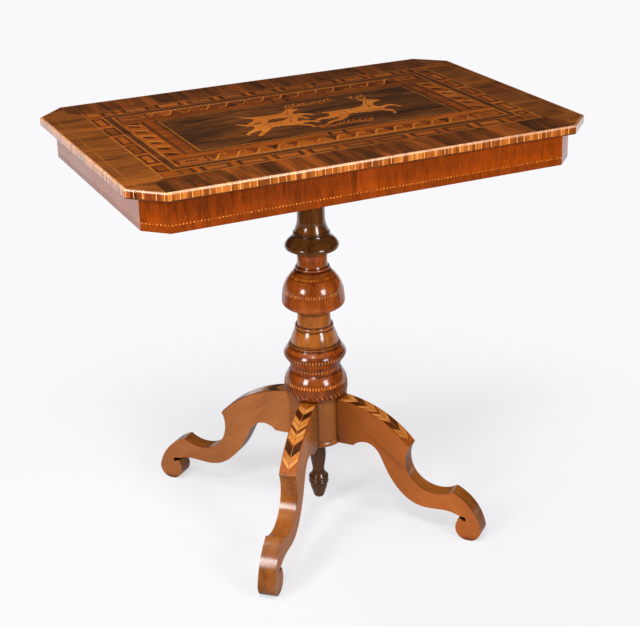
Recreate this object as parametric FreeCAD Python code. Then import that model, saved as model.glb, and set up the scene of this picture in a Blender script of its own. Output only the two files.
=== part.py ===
import FreeCAD, Part
import math
import os

from FreeCAD import Vector

# Occasional table with a canted inlaid top on a turned pillar and four scrolled legs.
# Millimetres. The origin is on the floor under the pillar, +Z is up, X runs along the
# long side and the front long side faces -Y.

# Overall size
HEIGHT = 740.0
TOP_LENGTH = 784.0
TOP_DEPTH = 542.0
TOP_THICKNESS = 14.5
CORNER_CANT = 48.0

# Layers of the top
VENEER = 1.5
LIPPING = 4.0
EDGE_ROUND = 2.5

# Widths of the inlaid bands, from the edge inwards
STRING = 2.0
MARGIN = 18.0
BORDER_SIDE = 66.0
BORDER_FRONT = 69.0
KEY_SIDE = 23.0
KEY_FRONT = 28.0
DARK_BAND = 11.0
ROPE_BAND = 30.0
SCROLL_BAND = 35.0
SIDE_FILLET = 6.0
STRIPE_SIDE = 16.0
STRIPE_FRONT = 17.0
FRONT_FILLET = 5.0

# Frieze under the top
OVERHANG = 23.0
FRIEZE_HEIGHT = 55.0
FRIEZE_VENEER = 1.5
FRIEZE_STRING = 2.5
FRIEZE_FOOT = 11.0
RAIL_THICKNESS = 18.0

# Glue blocks in the angle between the rails and the top
GLUE_BLOCK = 20.0
FRONT_BLOCK_SHARE = 0.4
SIDE_BLOCK_SHARES = (0.58, 0.8)

# Cross bearers and the plate that carries the top
BEARER_WIDTH = 45.0
BEARER_THICKNESS = 22.0
BEARER_GAP = 62.5
PLATE_SIDE = 210.0
PLATE_THICKNESS = 28.0

# Wood screws
SCREW_R = 2.2
SCREW_HEAD_R = 4.4
SCREW_HEAD = 3.0
SCREW_BITE = 8.0
PLATE_SCREW_SHARE = 0.38
BEARER_SCREW_SHARES = (-0.75, 0.0, 0.75)

# Fits between pieces
FIT = 0.1
SEAT = 1.0
OVERRUN = 5.0
SAME_PLACE = 0.000001

# Column pieces: spigots, tenon and wedge
SPIGOT_R = 10.0
SPIGOT_LENGTH = 22.0
TENON_R = 15.0
WEDGE_THICKNESS = 3.0
WEDGE_WIDTH = 24.0
WEDGE_DEPTH = 20.0
INLAY_DEPTH = 2.5

# Foot disc and hub
DISC_BOTTOM = 146.5
DISC_HEIGHT = 11.0
DISC_R = 49.5
HUB_HEIGHT = 79.5
HUB_R = 47.0

# Turned elements of the column from the hub up: greatest radius and height of each
BASE_BULB_R = 56.3
BASE_BULB_HEIGHT = 47.0
COLLAR_R = 45.5
COLLAR_HEIGHT = 14.0
TORUS_R = 55.0
TORUS_HEIGHT = 33.0
LOWER_BEAD_R = 45.6
LOWER_BEAD_HEIGHT = 3.5
UPPER_BEAD_R = 43.9
UPPER_BEAD_HEIGHT = 3.0
CONE_R = 42.6
CONE_HEIGHT = 25.0
CONE_RING_R = 34.0
CONE_RING_HEIGHT = 7.0
WAIST_R = 30.8
WAIST_HEIGHT = 24.0
BULB_R = 54.7
BULB_HEIGHT = 78.0
BULB_BEAD_R = 30.4
BULB_BEAD_HEIGHT = 7.0
THROAT_R = 27.6
THROAT_HEIGHT = 24.0
CUSHION_R = 47.0
CUSHION_HEIGHT = 34.0
NECK_BEAD_R = 32.0
NECK_BEAD_HEIGHT = 4.0
FLARE_R = 30.4
FLARE_HEIGHT = 30.0
CAPITAL_R = 38.0
CAPITAL_HEIGHT = 34.0

# Outlines of the turned elements: shares of the radius and of the height, bottom to top
BEAD_SHARES = ((0.955, 0.0), (1.0, 0.5), (0.955, 1.0))
BASE_BULB_SHARES = (
    (0.853, 0.0), (0.945, 0.085), (0.993, 0.2), (1.0, 0.33), (0.974, 0.6), (0.915, 0.79), (0.805, 1.0))
COLLAR_SHARES = ((0.985, 0.0), (0.967, 0.5), (1.0, 1.0))
TORUS_SHARES = (
    (0.83, 0.0), (0.893, 0.18), (0.968, 0.37), (1.0, 0.54), (0.962, 0.7), (0.905, 0.84), (0.84, 1.0))
CONE_SHARES = ((1.0, 0.0), (0.935, 0.36), (0.885, 0.6), (0.785, 1.0))
WAIST_SHARES = ((1.0, 0.0), (0.962, 0.2), (0.935, 0.5), (0.928, 0.75), (0.928, 1.0))
BULB_SHARES = (
    (0.525, 0.0), (0.66, 0.058), (0.82, 0.115), (0.936, 0.167), (0.982, 0.205),
    (1.0, 0.32), (0.968, 0.53), (0.88, 0.71), (0.735, 0.855), (0.57, 1.0))
BULB_BEAD_SHARES = ((0.97, 0.0), (1.0, 0.4), (0.93, 1.0))
THROAT_SHARES = ((1.0, 0.0), (0.965, 0.12), (0.933, 0.4), (0.94, 0.62), (0.98, 1.0))
CUSHION_SHARES = (
    (0.59, 0.0), (0.75, 0.085), (0.88, 0.18), (0.975, 0.27), (1.0, 0.36),
    (0.953, 0.53), (0.84, 0.71), (0.715, 0.88), (0.67, 1.0))
FLARE_SHARES = ((1.0, 0.0), (0.94, 0.13), (0.868, 0.33), (0.815, 0.53), (0.79, 0.75), (0.786, 1.0))
CAPITAL_SHARES = ((0.66, 0.3), (0.76, 0.6), (0.92, 0.85), (1.0, 1.0))
DISC_SHARES = ((0.9, 0.0), (0.985, 0.2), (1.0, 0.45), (0.975, 0.75), (0.935, 1.0))

# Inlaid rings: lower and upper height shares of the element that carries them
BULB_RING_SHARES = ((0.495, 0.585), (0.84, 0.91))
TORUS_RING_SHARES = ((0.34, 0.76),)
COLLAR_RING_SHARES = ((0.2, 0.8),)
BASE_RING_SHARES = ((0.1, 0.3), (0.52, 0.67))

# Drop finial under the hub, from its tip up
DROP_CLEARANCE = 24.0
DROP_TIP_R = 17.0
DROP_TIP_HEIGHT = 30.0
DROP_BEAD_R = 17.8
DROP_BEAD_HEIGHT = 4.8
DROP_BEAD_COUNT = 3
DROP_NECK_R = 15.4
DROP_NECK_HEIGHT = 14.0
DROP_VASE_R = 14.2
DROP_SPIGOT_R = 7.0
DROP_TIP_SHARES = ((0.3, 0.0), (0.47, 0.06), (0.64, 0.3), (0.85, 0.68), (0.96, 1.0))
DROP_NECK_SHARES = ((1.0, 0.0), (0.88, 0.25), (0.72, 0.65), (0.68, 1.0))
DROP_VASE_SHARES = (
    (0.74, 0.0), (0.88, 0.2), (1.0, 0.45), (0.93, 0.65), (0.76, 0.85), (0.74, 1.0))

# Legs: flat planks sawn to a scroll, seen from the side
FRONT_LEG_ANGLE = 41.5
BACK_LEG_ANGLE = 38.2
LEG_WIDTH = 30.0
FRONT_LEG_REACH = 314.0
BACK_LEG_REACH = 333.0
LEG_TOP_GAP = 2.4
KNEE_RISE = 15.0
KNEE_VENEER = 1.5
NOSE_SHARE = 0.03
FOOT_R = 23.5
FOOT_FLAT = 0.6
FOOT_CURL_TURN = 150.0
TONGUE_DEPTH = 18.0
TONGUE_ROOT = 10.0
TONGUE_TAIL = 16.0
TONGUE_SHORT = 8.0

# Outline of a leg: shares of its reach beyond the hub and of its rise from the floor
ROOT_SHARES = (0.0, 0.638)
CUSP_TIP_SHARES = (0.5037, 0.695)
CUSP_BACK_SHARES = (0.4913, 0.668)
ANKLE_SHARES = (0.5377, 0.413)
HEEL_TIP_SHARES = (0.8019, 0.386)
SCROLL_SHARES = (0.9195, 0.288)
EYE_SHARES = ((0.8638, 0.171), (0.8906, 0.156), (0.8948, 0.178), (0.8679, 0.193))
UNDER_SHARES = (
    (0.837, 0.2), (0.7224, 0.22), (0.5996, 0.217), (0.5037, 0.254), (0.4232, 0.335), (0.3592, 0.439),
    (0.3107, 0.556), (0.2726, 0.632), (0.223, 0.672), (0.1652, 0.675), (0.1075, 0.635))

# Levels worked out from the sizes above
TOP_UNDERSIDE = HEIGHT - TOP_THICKNESS
VENEER_BED = HEIGHT - VENEER
FRIEZE_BOTTOM = TOP_UNDERSIDE - FRIEZE_HEIGHT
PLATE_BOTTOM = TOP_UNDERSIDE - PLATE_THICKNESS
DISC_TOP = DISC_BOTTOM + DISC_HEIGHT
HUB_TOP = DISC_TOP + HUB_HEIGHT
LEG_RISE = HUB_TOP - LEG_TOP_GAP
BEARER_PLACE = PLATE_SIDE / 2 + BEARER_GAP + BEARER_WIDTH / 2
RAIL_FACE = OVERHANG + FRIEZE_VENEER
RAIL_BACK = RAIL_FACE + RAIL_THICKNESS

SIDES = (
    "front_left", "front", "front_right", "right", "back_right", "back", "back_left", "left")
STRAIGHT_SIDES = ("front", "right", "back", "left")
CORNERS = ("front_left", "front_right", "back_right", "back_left")
LEG_TURNS = {
    "front_right": FRONT_LEG_ANGLE - 90.0,
    "back_right": 90.0 - BACK_LEG_ANGLE,
    "back_left": 90.0 + BACK_LEG_ANGLE,
    "front_left": -90.0 - FRONT_LEG_ANGLE,
}

pieces = {}


def prism(points, bottom, top):
    """Upright solid on a polygon of (x, y) points."""
    corners = [Vector(x, y, bottom) for x, y in points]
    face = Part.Face(Part.makePolygon(corners + corners[:1]))
    return face.extrude(Vector(0, 0, top - bottom))


def block(x_span, y_span, z_span):
    """Upright box between two values on each axis."""
    (x0, x1), (y0, y1) = x_span, y_span
    return prism(((x0, y0), (x1, y0), (x1, y1), (x0, y1)), *z_span)


def group(solids):
    """Several separate solids kept in one node."""
    return Part.makeCompound(solids)


def octagon(inset):
    """Canted outline of the top moved inwards, from the left end of the front left corner."""
    x = TOP_LENGTH / 2 - inset
    y = TOP_DEPTH / 2 - inset
    cant = CORNER_CANT - inset * (2 - math.sqrt(2))
    return [
        (-x, cant - y), (cant - x, -y), (x - cant, -y), (x, cant - y),
        (x, y - cant), (x - cant, y), (cant - x, y), (-x, y - cant)]


def canted_ring(outer_inset, inner_inset, bottom, top):
    """Eight mitred lengths that go round the canted outline, by side name."""
    outer = octagon(outer_inset)
    inner = octagon(inner_inset)
    ring = {}
    for place, side in enumerate(SIDES):
        after = (place + 1) % len(SIDES)
        points = (outer[place], outer[after], inner[after], inner[place])
        ring[side] = prism(points, bottom, top)
    return ring


def inset(rectangle, side, front):
    """Half sizes of a rectangle moved inwards on its short and long sides."""
    return rectangle[0] - side, rectangle[1] - front


def frame_strips(outer, inner):
    """Four mitred veneer strips between two rectangles, by side name."""
    corners = []
    for half_x, half_y in (outer, inner):
        corners.append(((-half_x, -half_y), (half_x, -half_y), (half_x, half_y), (-half_x, half_y)))
    strips = {}
    for place, side in enumerate(STRAIGHT_SIDES):
        after = (place + 1) % len(STRAIGHT_SIDES)
        points = (corners[0][place], corners[0][after], corners[1][after], corners[1][place])
        strips[side] = prism(points, VENEER_BED, HEIGHT)
    return strips


def veneer(x_span, y_span):
    """Rectangle of veneer in the top's surface."""
    return block(x_span, y_span, (VENEER_BED, HEIGHT))


def both_ways(span):
    """A span and its mirror image."""
    low, high = span
    return (low, high), (-high, -low)


def outline_edge(points):
    """Smooth edge through points, or a straight one through two."""
    if len(points) == 2:
        return Part.makeLine(*points)
    curve = Part.BSplineCurve()
    curve.interpolate(points)
    return curve.toShape()


def turned(elements, bottom, depth=0.0):
    """Solid of revolution through stacked elements of radius, height and outline shares."""
    edges = []
    level = bottom
    last = Vector(0, 0, bottom)
    for radius, height, shares in elements:
        points = [Vector(radius * r - depth, 0, level + height * z) for r, z in shares]
        if last.distanceToPoint(points[0]) > SAME_PLACE:
            edges.append(Part.makeLine(last, points[0]))
        edges.append(outline_edge(points))
        last = points[-1]
        level += height
    centre = Vector(0, 0, level)
    edges.append(Part.makeLine(last, centre))
    edges.append(Part.makeLine(centre, Vector(0, 0, bottom)))
    face = Part.Face(Part.Wire(edges))
    return face.revolve(Vector(0, 0, 0), Vector(0, 0, 1), 360)


def stack_height(elements):
    """Height of stacked elements."""
    return sum(height for radius, height, shares in elements)


def rod(radius, bottom, top):
    """Cylinder on the pillar's axis."""
    return Part.makeCylinder(radius, top - bottom, Vector(0, 0, bottom))


def on_spigot(solid, bottom):
    """Add the spigot under a column piece that stands at a level."""
    return solid.fuse(rod(SPIGOT_R, bottom - SPIGOT_LENGTH, bottom + SEAT)).removeSplitter()


def with_socket(solid, top):
    """Bore the socket for the next piece's spigot into a column piece that ends at a level."""
    return solid.cut(rod(SPIGOT_R + FIT, top - SPIGOT_LENGTH - SEAT, top + OVERRUN))


def inlaid_rings(solid, elements, bottom, carrier, ring_shares):
    """Rings let into one element of a column piece: the piece without them, and the rings."""
    level = bottom + stack_height(elements[:carrier])
    radius, height, shares = elements[carrier]
    core = turned(elements, bottom, INLAY_DEPTH)
    rings = []
    for low, high in ring_shares:
        slab = rod(radius + OVERRUN, level + height * low, level + height * high)
        ring = solid.common(slab).cut(core)
        solid = solid.cut(ring)
        rings.append(ring)
    return solid, rings


def screw(x, y, under, grow=0.0):
    """Countersunk screw driven up from an underside, or the hole for one."""
    length = TOP_UNDERSIDE - under + SCREW_BITE
    head = Part.makeCone(SCREW_HEAD_R + grow, SCREW_R + grow, SCREW_HEAD, Vector(x, y, under))
    shank = Part.makeCylinder(SCREW_R + grow, length + grow, Vector(x, y, under))
    return head.fuse(shank).removeSplitter()


def screw_places():
    """Where the screws go, with the underside each is driven from."""
    places = []
    reach = PLATE_SIDE * PLATE_SCREW_SHARE
    for x in (-reach, reach):
        for y in (-reach, reach):
            places.append((x, y, PLATE_BOTTOM))
    half = TOP_DEPTH / 2 - RAIL_BACK
    for x in (-BEARER_PLACE, BEARER_PLACE):
        for share in BEARER_SCREW_SHARES:
            places.append((x, half * share, TOP_UNDERSIDE - BEARER_THICKNESS))
    return places


def screwed(solid):
    """Cut the screw holes out of a piece."""
    return solid.cut(group([screw(*place, grow=FIT) for place in screw_places()]))


def make_top_board():
    board = prism(octagon(LIPPING), TOP_UNDERSIDE, VENEER_BED)
    pieces["top_board"] = screwed(board)


def make_edge_bands():
    """Solid lippings round the top with a rounded upper edge."""
    ring = canted_ring(0, LIPPING, TOP_UNDERSIDE, HEIGHT)
    outer = octagon(0)
    for place, side in enumerate(SIDES):
        middle = [(a + b) / 2 for a, b in zip(outer[place], outer[(place + 1) % len(SIDES)])]
        rim = min(
            ring[side].Edges,
            key=lambda edge: edge.CenterOfMass.distanceToPoint(Vector(*middle, HEIGHT)))
        ring[side] = ring[side].makeFillet(EDGE_ROUND, [rim])
    for side in STRAIGHT_SIDES:
        pieces["edge_band_" + side] = ring[side]
    pieces["edge_band_corners"] = group([ring[side] for side in CORNERS])


def margin_line(depth):
    """Line that follows a short side and its cants, inside the right hand half of the top."""
    outline = octagon(depth)
    x_end = TOP_LENGTH / 2 - CORNER_CANT
    run_out = outline[3][0] - x_end
    return [
        (x_end, outline[3][1] - run_out), outline[3], outline[4], (x_end, outline[4][1] + run_out)]


def make_border():
    """Wide crossbanded border with a fine string near the short sides."""
    x, y = inset((TOP_LENGTH / 2, TOP_DEPTH / 2), BORDER_SIDE, BORDER_FRONT)
    x_end = TOP_LENGTH / 2 - CORNER_CANT
    y_end = y + x_end - x
    edge = TOP_DEPTH / 2 - LIPPING
    long_points = ((-x_end, -edge), (x_end, -edge), (x_end, -y_end), (x, -y), (-x, -y), (-x_end, -y_end))
    outer = margin_line(LIPPING)
    string_out = margin_line(MARGIN)
    string_in = margin_line(MARGIN + STRING)
    side_points = [(x, -y), (x_end, -y_end)] + string_in + [(x_end, y_end), (x, y)]
    pairs = []
    for points in (side_points, long_points, outer + string_out[::-1], string_out + string_in[::-1]):
        solid = prism(points, VENEER_BED, HEIGHT)
        pairs.append((solid, turned_about(solid, 180)))
    pieces["crossband_right"], pieces["crossband_left"] = pairs[0]
    pieces["crossband_front"], pieces["crossband_back"] = pairs[1]
    pieces["margins"] = group(pairs[2])
    pieces["margin_strings"] = group(pairs[3])


def make_inlaid_bands():
    """Bands inside the border, each in mitred strips, down to the long inner frame."""
    border = inset((TOP_LENGTH / 2, TOP_DEPTH / 2), BORDER_SIDE, BORDER_FRONT)
    key_out = inset(border, STRING, STRING)
    key_in = inset(key_out, KEY_SIDE, KEY_FRONT)
    dark_out = inset(key_in, STRING, STRING)
    dark_in = inset(dark_out, DARK_BAND, DARK_BAND)
    frame = inset(dark_in, STRING, STRING)
    pieces["outer_string"] = group(list(frame_strips(border, key_out).values()))
    pieces["key_bands"] = group(list(frame_strips(key_out, key_in).values()))
    strings = list(frame_strips(key_in, dark_out).values())
    strings += list(frame_strips(dark_in, frame).values())
    pieces["frame_strings"] = group(strings)
    pieces["dark_band"] = group(list(frame_strips(dark_out, dark_in).values()))
    return frame


def make_inner_frame(frame):
    """Scroll and rope bands, corner squares and stripes round the centre panel."""
    x_rope = frame[0] - ROPE_BAND
    x_stripe = x_rope - SIDE_FILLET
    x_fillet = x_stripe - STRIPE_SIDE
    x_string = x_fillet - SIDE_FILLET
    y_scroll = frame[1] - SCROLL_BAND
    y_stripe = y_scroll - STRIPE_FRONT
    y_string = y_stripe - FRONT_FILLET
    panel = inset((x_string, y_string), STRING, STRING)
    front_spans = both_ways((y_scroll, frame[1]))
    long_span = (-x_string, x_string)
    short_span = (-y_stripe, y_stripe)
    pieces["scroll_bands"] = group([veneer(long_span, span) for span in front_spans])
    pieces["rope_bands"] = group([veneer(span, short_span) for span in both_ways((x_rope, frame[0]))])
    pieces["corner_squares"] = group([
        veneer(x_span, y_span) for x_span in both_ways((x_string, frame[0])) for y_span in front_spans])
    stripes = [veneer((-frame[0], frame[0]), span) for span in both_ways((y_stripe, y_scroll))]
    stripes += [veneer(span, short_span) for span in both_ways((x_fillet, x_stripe))]
    pieces["inner_stripes"] = group(stripes)
    fillets = [veneer(span, short_span) for span in both_ways((x_stripe, x_rope))]
    fillets += [veneer(span, short_span) for span in both_ways((x_string, x_fillet))]
    fillets += [veneer(long_span, span) for span in both_ways((y_string, y_stripe))]
    pieces["dark_fillets"] = group(fillets)
    pieces["panel_string"] = group(list(frame_strips((x_string, y_string), panel).values()))
    pieces["centre_panel"] = veneer((-panel[0], panel[0]), (-panel[1], panel[1]))


def make_frieze():
    """Rails and corner posts, faced with veneer above and below a dotted string."""
    string_bottom = FRIEZE_BOTTOM + FRIEZE_FOOT
    string_top = string_bottom + FRIEZE_STRING
    rails = canted_ring(RAIL_FACE, RAIL_BACK, FRIEZE_BOTTOM, TOP_UNDERSIDE)
    faces = canted_ring(OVERHANG, RAIL_FACE, string_top, TOP_UNDERSIDE)
    strings = canted_ring(OVERHANG, RAIL_FACE, string_bottom, string_top)
    feet = canted_ring(OVERHANG, RAIL_FACE, FRIEZE_BOTTOM, string_bottom)
    for side in STRAIGHT_SIDES:
        pieces["rail_" + side] = rails[side]
        pieces["frieze_veneer_" + side] = faces[side]
    pieces["corner_posts"] = group([rails[side] for side in CORNERS])
    pieces["corner_veneers"] = group([faces[side] for side in CORNERS])
    pieces["frieze_string"] = group(list(strings.values()))
    pieces["frieze_foot_band"] = group(list(feet.values()))


def make_glue_blocks():
    """Blocks rubbed into the angle behind the rails, between the bearers and the corner posts."""
    half_x = TOP_LENGTH / 2 - RAIL_BACK
    half_y = TOP_DEPTH / 2 - RAIL_BACK
    z_span = (TOP_UNDERSIDE - GLUE_BLOCK, TOP_UNDERSIDE)
    corners = octagon(RAIL_BACK)
    post_x, post_y = corners[2][0], corners[4][1]
    bearer_face = BEARER_PLACE + BEARER_WIDTH / 2
    x_middle = (bearer_face + post_x) / 2
    half_length = (post_x - bearer_face) * FRONT_BLOCK_SHARE / 2
    blocks = []
    for x_span in both_ways((x_middle - half_length, x_middle + half_length)):
        for y_span in both_ways((half_y - GLUE_BLOCK, half_y)):
            blocks.append(block(x_span, y_span, z_span))
    for x_span in both_ways((half_x - GLUE_BLOCK, half_x)):
        for y_span in both_ways([post_y * share for share in SIDE_BLOCK_SHARES]):
            blocks.append(block(x_span, y_span, z_span))
    pieces["glue_blocks"] = group(blocks)


def make_bearers():
    """Battens across the underside and the plate on top of the pillar, with their screws."""
    half = TOP_DEPTH / 2 - RAIL_BACK - FIT
    spans = both_ways((BEARER_PLACE - BEARER_WIDTH / 2, BEARER_PLACE + BEARER_WIDTH / 2))
    for name, span in zip(("bearer_right", "bearer_left"), spans):
        bearer = block(span, (-half, half), (TOP_UNDERSIDE - BEARER_THICKNESS, TOP_UNDERSIDE))
        pieces[name] = screwed(bearer)
    side = (-PLATE_SIDE / 2, PLATE_SIDE / 2)
    plate = block(side, side, (PLATE_BOTTOM, TOP_UNDERSIDE))
    plate = plate.cut(rod(TENON_R + FIT, PLATE_BOTTOM - OVERRUN, HEIGHT))
    pieces["pillar_plate"] = screwed(plate)
    pieces["top_screws"] = group([screw(*place) for place in screw_places()])


def make_column():
    """Four turned pieces, each on a spigot in the one below, with inlaid rings."""
    base = (
        (BASE_BULB_R, BASE_BULB_HEIGHT, BASE_BULB_SHARES),
        (COLLAR_R, COLLAR_HEIGHT, COLLAR_SHARES),
        (TORUS_R, TORUS_HEIGHT, TORUS_SHARES))
    cone = (
        (LOWER_BEAD_R, LOWER_BEAD_HEIGHT, BEAD_SHARES),
        (UPPER_BEAD_R, UPPER_BEAD_HEIGHT, BEAD_SHARES),
        (CONE_R, CONE_HEIGHT, CONE_SHARES),
        (CONE_RING_R, CONE_RING_HEIGHT, BEAD_SHARES),
        (WAIST_R, WAIST_HEIGHT, WAIST_SHARES))
    bulb = (
        (BULB_R, BULB_HEIGHT, BULB_SHARES),
        (BULB_BEAD_R, BULB_BEAD_HEIGHT, BULB_BEAD_SHARES),
        (THROAT_R, THROAT_HEIGHT, THROAT_SHARES))
    neck = [
        (CUSHION_R, CUSHION_HEIGHT, CUSHION_SHARES),
        (NECK_BEAD_R, NECK_BEAD_HEIGHT, BEAD_SHARES),
        (FLARE_R, FLARE_HEIGHT, FLARE_SHARES)]
    base_top = HUB_TOP + stack_height(base)
    cone_top = base_top + stack_height(cone)
    bulb_top = cone_top + stack_height(bulb)
    shaft_r = FLARE_R * FLARE_SHARES[-1][0]
    shaft = PLATE_BOTTOM - CAPITAL_HEIGHT - bulb_top - stack_height(neck)
    neck.append((shaft_r, shaft, ((1.0, 0.0), (1.0, 1.0))))
    neck.append((CAPITAL_R, CAPITAL_HEIGHT, ((shaft_r / CAPITAL_R, 0.0),) + CAPITAL_SHARES))

    column_base = with_socket(on_spigot(turned(base, HUB_TOP), HUB_TOP), base_top)
    base_rings = []
    for carrier, shares in enumerate((BASE_RING_SHARES, COLLAR_RING_SHARES, TORUS_RING_SHARES)):
        column_base, rings = inlaid_rings(column_base, base, HUB_TOP, carrier, shares)
        base_rings += rings
    pieces["column_base"] = column_base
    pieces["base_inlay"] = group(base_rings)
    pieces["column_cone"] = with_socket(on_spigot(turned(cone, base_top), base_top), cone_top)
    column_bulb = with_socket(on_spigot(turned(bulb, cone_top), cone_top), bulb_top)
    pieces["column_bulb"], bulb_rings = inlaid_rings(column_bulb, bulb, cone_top, 0, BULB_RING_SHARES)
    pieces["bulb_inlay"] = group(bulb_rings)

    column_neck = on_spigot(turned(neck, bulb_top), bulb_top)
    column_neck = column_neck.fuse(rod(TENON_R, PLATE_BOTTOM - SEAT, TOP_UNDERSIDE)).removeSplitter()
    wedge = block(
        (-WEDGE_THICKNESS / 2, WEDGE_THICKNESS / 2), (-WEDGE_WIDTH / 2, WEDGE_WIDTH / 2),
        (TOP_UNDERSIDE - WEDGE_DEPTH, TOP_UNDERSIDE))
    pieces["column_neck"] = column_neck.cut(wedge)
    pieces["tenon_wedge"] = wedge


def tongue(grow):
    """Dovetail tongue on a leg's root along +X, or the slot for it."""
    inner = HUB_R - TONGUE_DEPTH - grow
    tail = TONGUE_TAIL / 2 + grow
    root = TONGUE_ROOT / 2 + grow
    outer = HUB_R + OVERRUN
    points = ((inner, -tail), (outer, -root), (outer, root), (inner, tail))
    return prism(points, DISC_TOP, LEG_RISE - TONGUE_SHORT + grow)


def turned_about(solid, angle):
    """Copy of a solid turned about the pillar's axis."""
    copy = solid.copy()
    copy.rotate(Vector(0, 0, 0), Vector(0, 0, 1), angle)
    return copy


def make_hub():
    """Hub with a dovetail slot for each leg, closed below by a lipped disc and a drop."""
    hub = with_socket(rod(HUB_R, DISC_TOP, HUB_TOP), HUB_TOP)
    hub = hub.cut(rod(DROP_SPIGOT_R + FIT, DISC_TOP - OVERRUN, DISC_TOP + SPIGOT_LENGTH + SEAT))
    for angle in LEG_TURNS.values():
        hub = hub.cut(turned_about(tongue(FIT), angle))
    pieces["hub"] = hub
    disc = turned(((DISC_R, DISC_HEIGHT, DISC_SHARES),), DISC_BOTTOM)
    pieces["hub_disc"] = disc.cut(rod(DROP_SPIGOT_R + FIT, DISC_BOTTOM - OVERRUN, DISC_TOP + OVERRUN))


def make_drop():
    """Turned drop finial on a spigot through the disc into the hub."""
    drop = [(DROP_TIP_R, DROP_TIP_HEIGHT, DROP_TIP_SHARES)]
    drop += [(DROP_BEAD_R, DROP_BEAD_HEIGHT, BEAD_SHARES)] * DROP_BEAD_COUNT
    drop.append((DROP_NECK_R, DROP_NECK_HEIGHT, DROP_NECK_SHARES))
    vase = DISC_BOTTOM - DROP_CLEARANCE - stack_height(drop)
    drop.append((DROP_VASE_R, vase, DROP_VASE_SHARES))
    finial = turned(drop, DROP_CLEARANCE)
    spigot = rod(DROP_SPIGOT_R, DISC_BOTTOM - SEAT, DISC_TOP + SPIGOT_LENGTH)
    pieces["drop_finial"] = finial.fuse(spigot).removeSplitter()


def leg_point(reach, shares):
    """Point of the leg's outline in the plane of its side."""
    return Vector(HUB_R + (reach - HUB_R) * shares[0], 0, LEG_RISE * shares[1])


def knee_circle(reach):
    """Middle and radius of the circle that the knee's top follows."""
    root = Vector(HUB_R, 0, LEG_RISE)
    tip = leg_point(reach, CUSP_TIP_SHARES)
    chord = tip - root
    radius = (chord.Length ** 2 / 4 + KNEE_RISE ** 2) / (2 * KNEE_RISE)
    across = Vector(-chord.z, 0, chord.x) / chord.Length
    middle = root + chord / 2 - across * (radius - KNEE_RISE)
    return middle, radius


def arc_point(middle, radius, angle):
    return middle + Vector(math.cos(angle), 0, math.sin(angle)) * radius


def angle_of(middle, point):
    return math.atan2(point.z - middle.z, point.x - middle.x)


def side_solid(edges):
    """Plank cut to an outline of edges in the plane of the leg's side."""
    face = Part.Face(Part.Wire(edges))
    face.translate(Vector(0, -LEG_WIDTH / 2, 0))
    return face.extrude(Vector(0, LEG_WIDTH, 0))


def make_leg_pieces(reach):
    """One leg along +X with its dovetail tongue, and the veneer strip on its knee."""
    root = Vector(HUB_R, 0, LEG_RISE)
    heart = Vector(HUB_R - TONGUE_DEPTH, 0, LEG_RISE)
    root_foot = leg_point(reach, ROOT_SHARES)
    heart_foot = Vector(heart.x, 0, root_foot.z)
    tip = leg_point(reach, CUSP_TIP_SHARES)
    back = leg_point(reach, CUSP_BACK_SHARES)
    heel = leg_point(reach, HEEL_TIP_SHARES)
    foot = Vector(reach - FOOT_R, 0, FOOT_R - FOOT_FLAT)
    flat_turn = math.asin(foot.z / FOOT_R)
    curl_turn = math.radians(FOOT_CURL_TURN)
    outer_turns = (0, -flat_turn / 2, -flat_turn)
    outer_foot = [arc_point(foot, FOOT_R, turn) for turn in outer_turns]
    inner_turns = (math.pi + flat_turn, (math.pi + flat_turn + curl_turn) / 2, curl_turn)
    inner_foot = [arc_point(foot, FOOT_R, turn) for turn in inner_turns]
    eye = [leg_point(reach, shares) for shares in EYE_SHARES]
    under = [leg_point(reach, shares) for shares in UNDER_SHARES]
    middle, radius = knee_circle(reach)
    turns = (angle_of(middle, root), angle_of(middle, tip))
    knee_top = arc_point(middle, radius, sum(turns) / 2)
    edges = [
        Part.Arc(root, knee_top, tip).toShape(),
        Part.makeLine(tip, back),
        Part.Arc(back, leg_point(reach, ANKLE_SHARES), heel).toShape(),
        Part.Arc(heel, leg_point(reach, SCROLL_SHARES), outer_foot[0]).toShape(),
        Part.Arc(*outer_foot).toShape(),
        Part.makeLine(outer_foot[-1], inner_foot[0]),
        Part.Arc(*inner_foot).toShape(),
        outline_edge([inner_foot[-1]] + eye + [under[0]]),
        outline_edge(under),
        Part.makeLine(under[-1], root_foot),
        Part.makeLine(root_foot, heart_foot),
        Part.makeLine(heart_foot, heart),
        Part.makeLine(heart, root)]
    plank = side_solid(edges)
    bore = rod(HUB_R + FIT, 0, HEIGHT)
    nose = turns[1] + (turns[0] - turns[1]) * NOSE_SHARE
    inner = radius - KNEE_VENEER
    ends = (turns[0], nose)
    upper = [arc_point(middle, radius, angle) for angle in (ends[0], sum(ends) / 2, ends[1])]
    lower = [arc_point(middle, inner, angle) for angle in (ends[0], sum(ends) / 2, ends[1])]
    strip = side_solid([
        Part.Arc(*upper).toShape(),
        Part.makeLine(upper[2], lower[2]),
        Part.Arc(*lower[::-1]).toShape(),
        Part.makeLine(lower[0], upper[0])])
    notch = rod(DISC_R + FIT, 0, DISC_TOP)
    leg = plank.cut(bore).cut(notch).cut(strip).fuse(tongue(0)).removeSplitter()
    return leg, strip.cut(bore)


def make_legs():
    """Front legs, and back legs that reach a little further."""
    for place, reach in (("front", FRONT_LEG_REACH), ("back", BACK_LEG_REACH)):
        leg, strip = make_leg_pieces(reach)
        for name in (place + "_left", place + "_right"):
            pieces["leg_" + name] = turned_about(leg, LEG_TURNS[name])
            pieces["knee_veneer_" + name] = turned_about(strip, LEG_TURNS[name])


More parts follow.
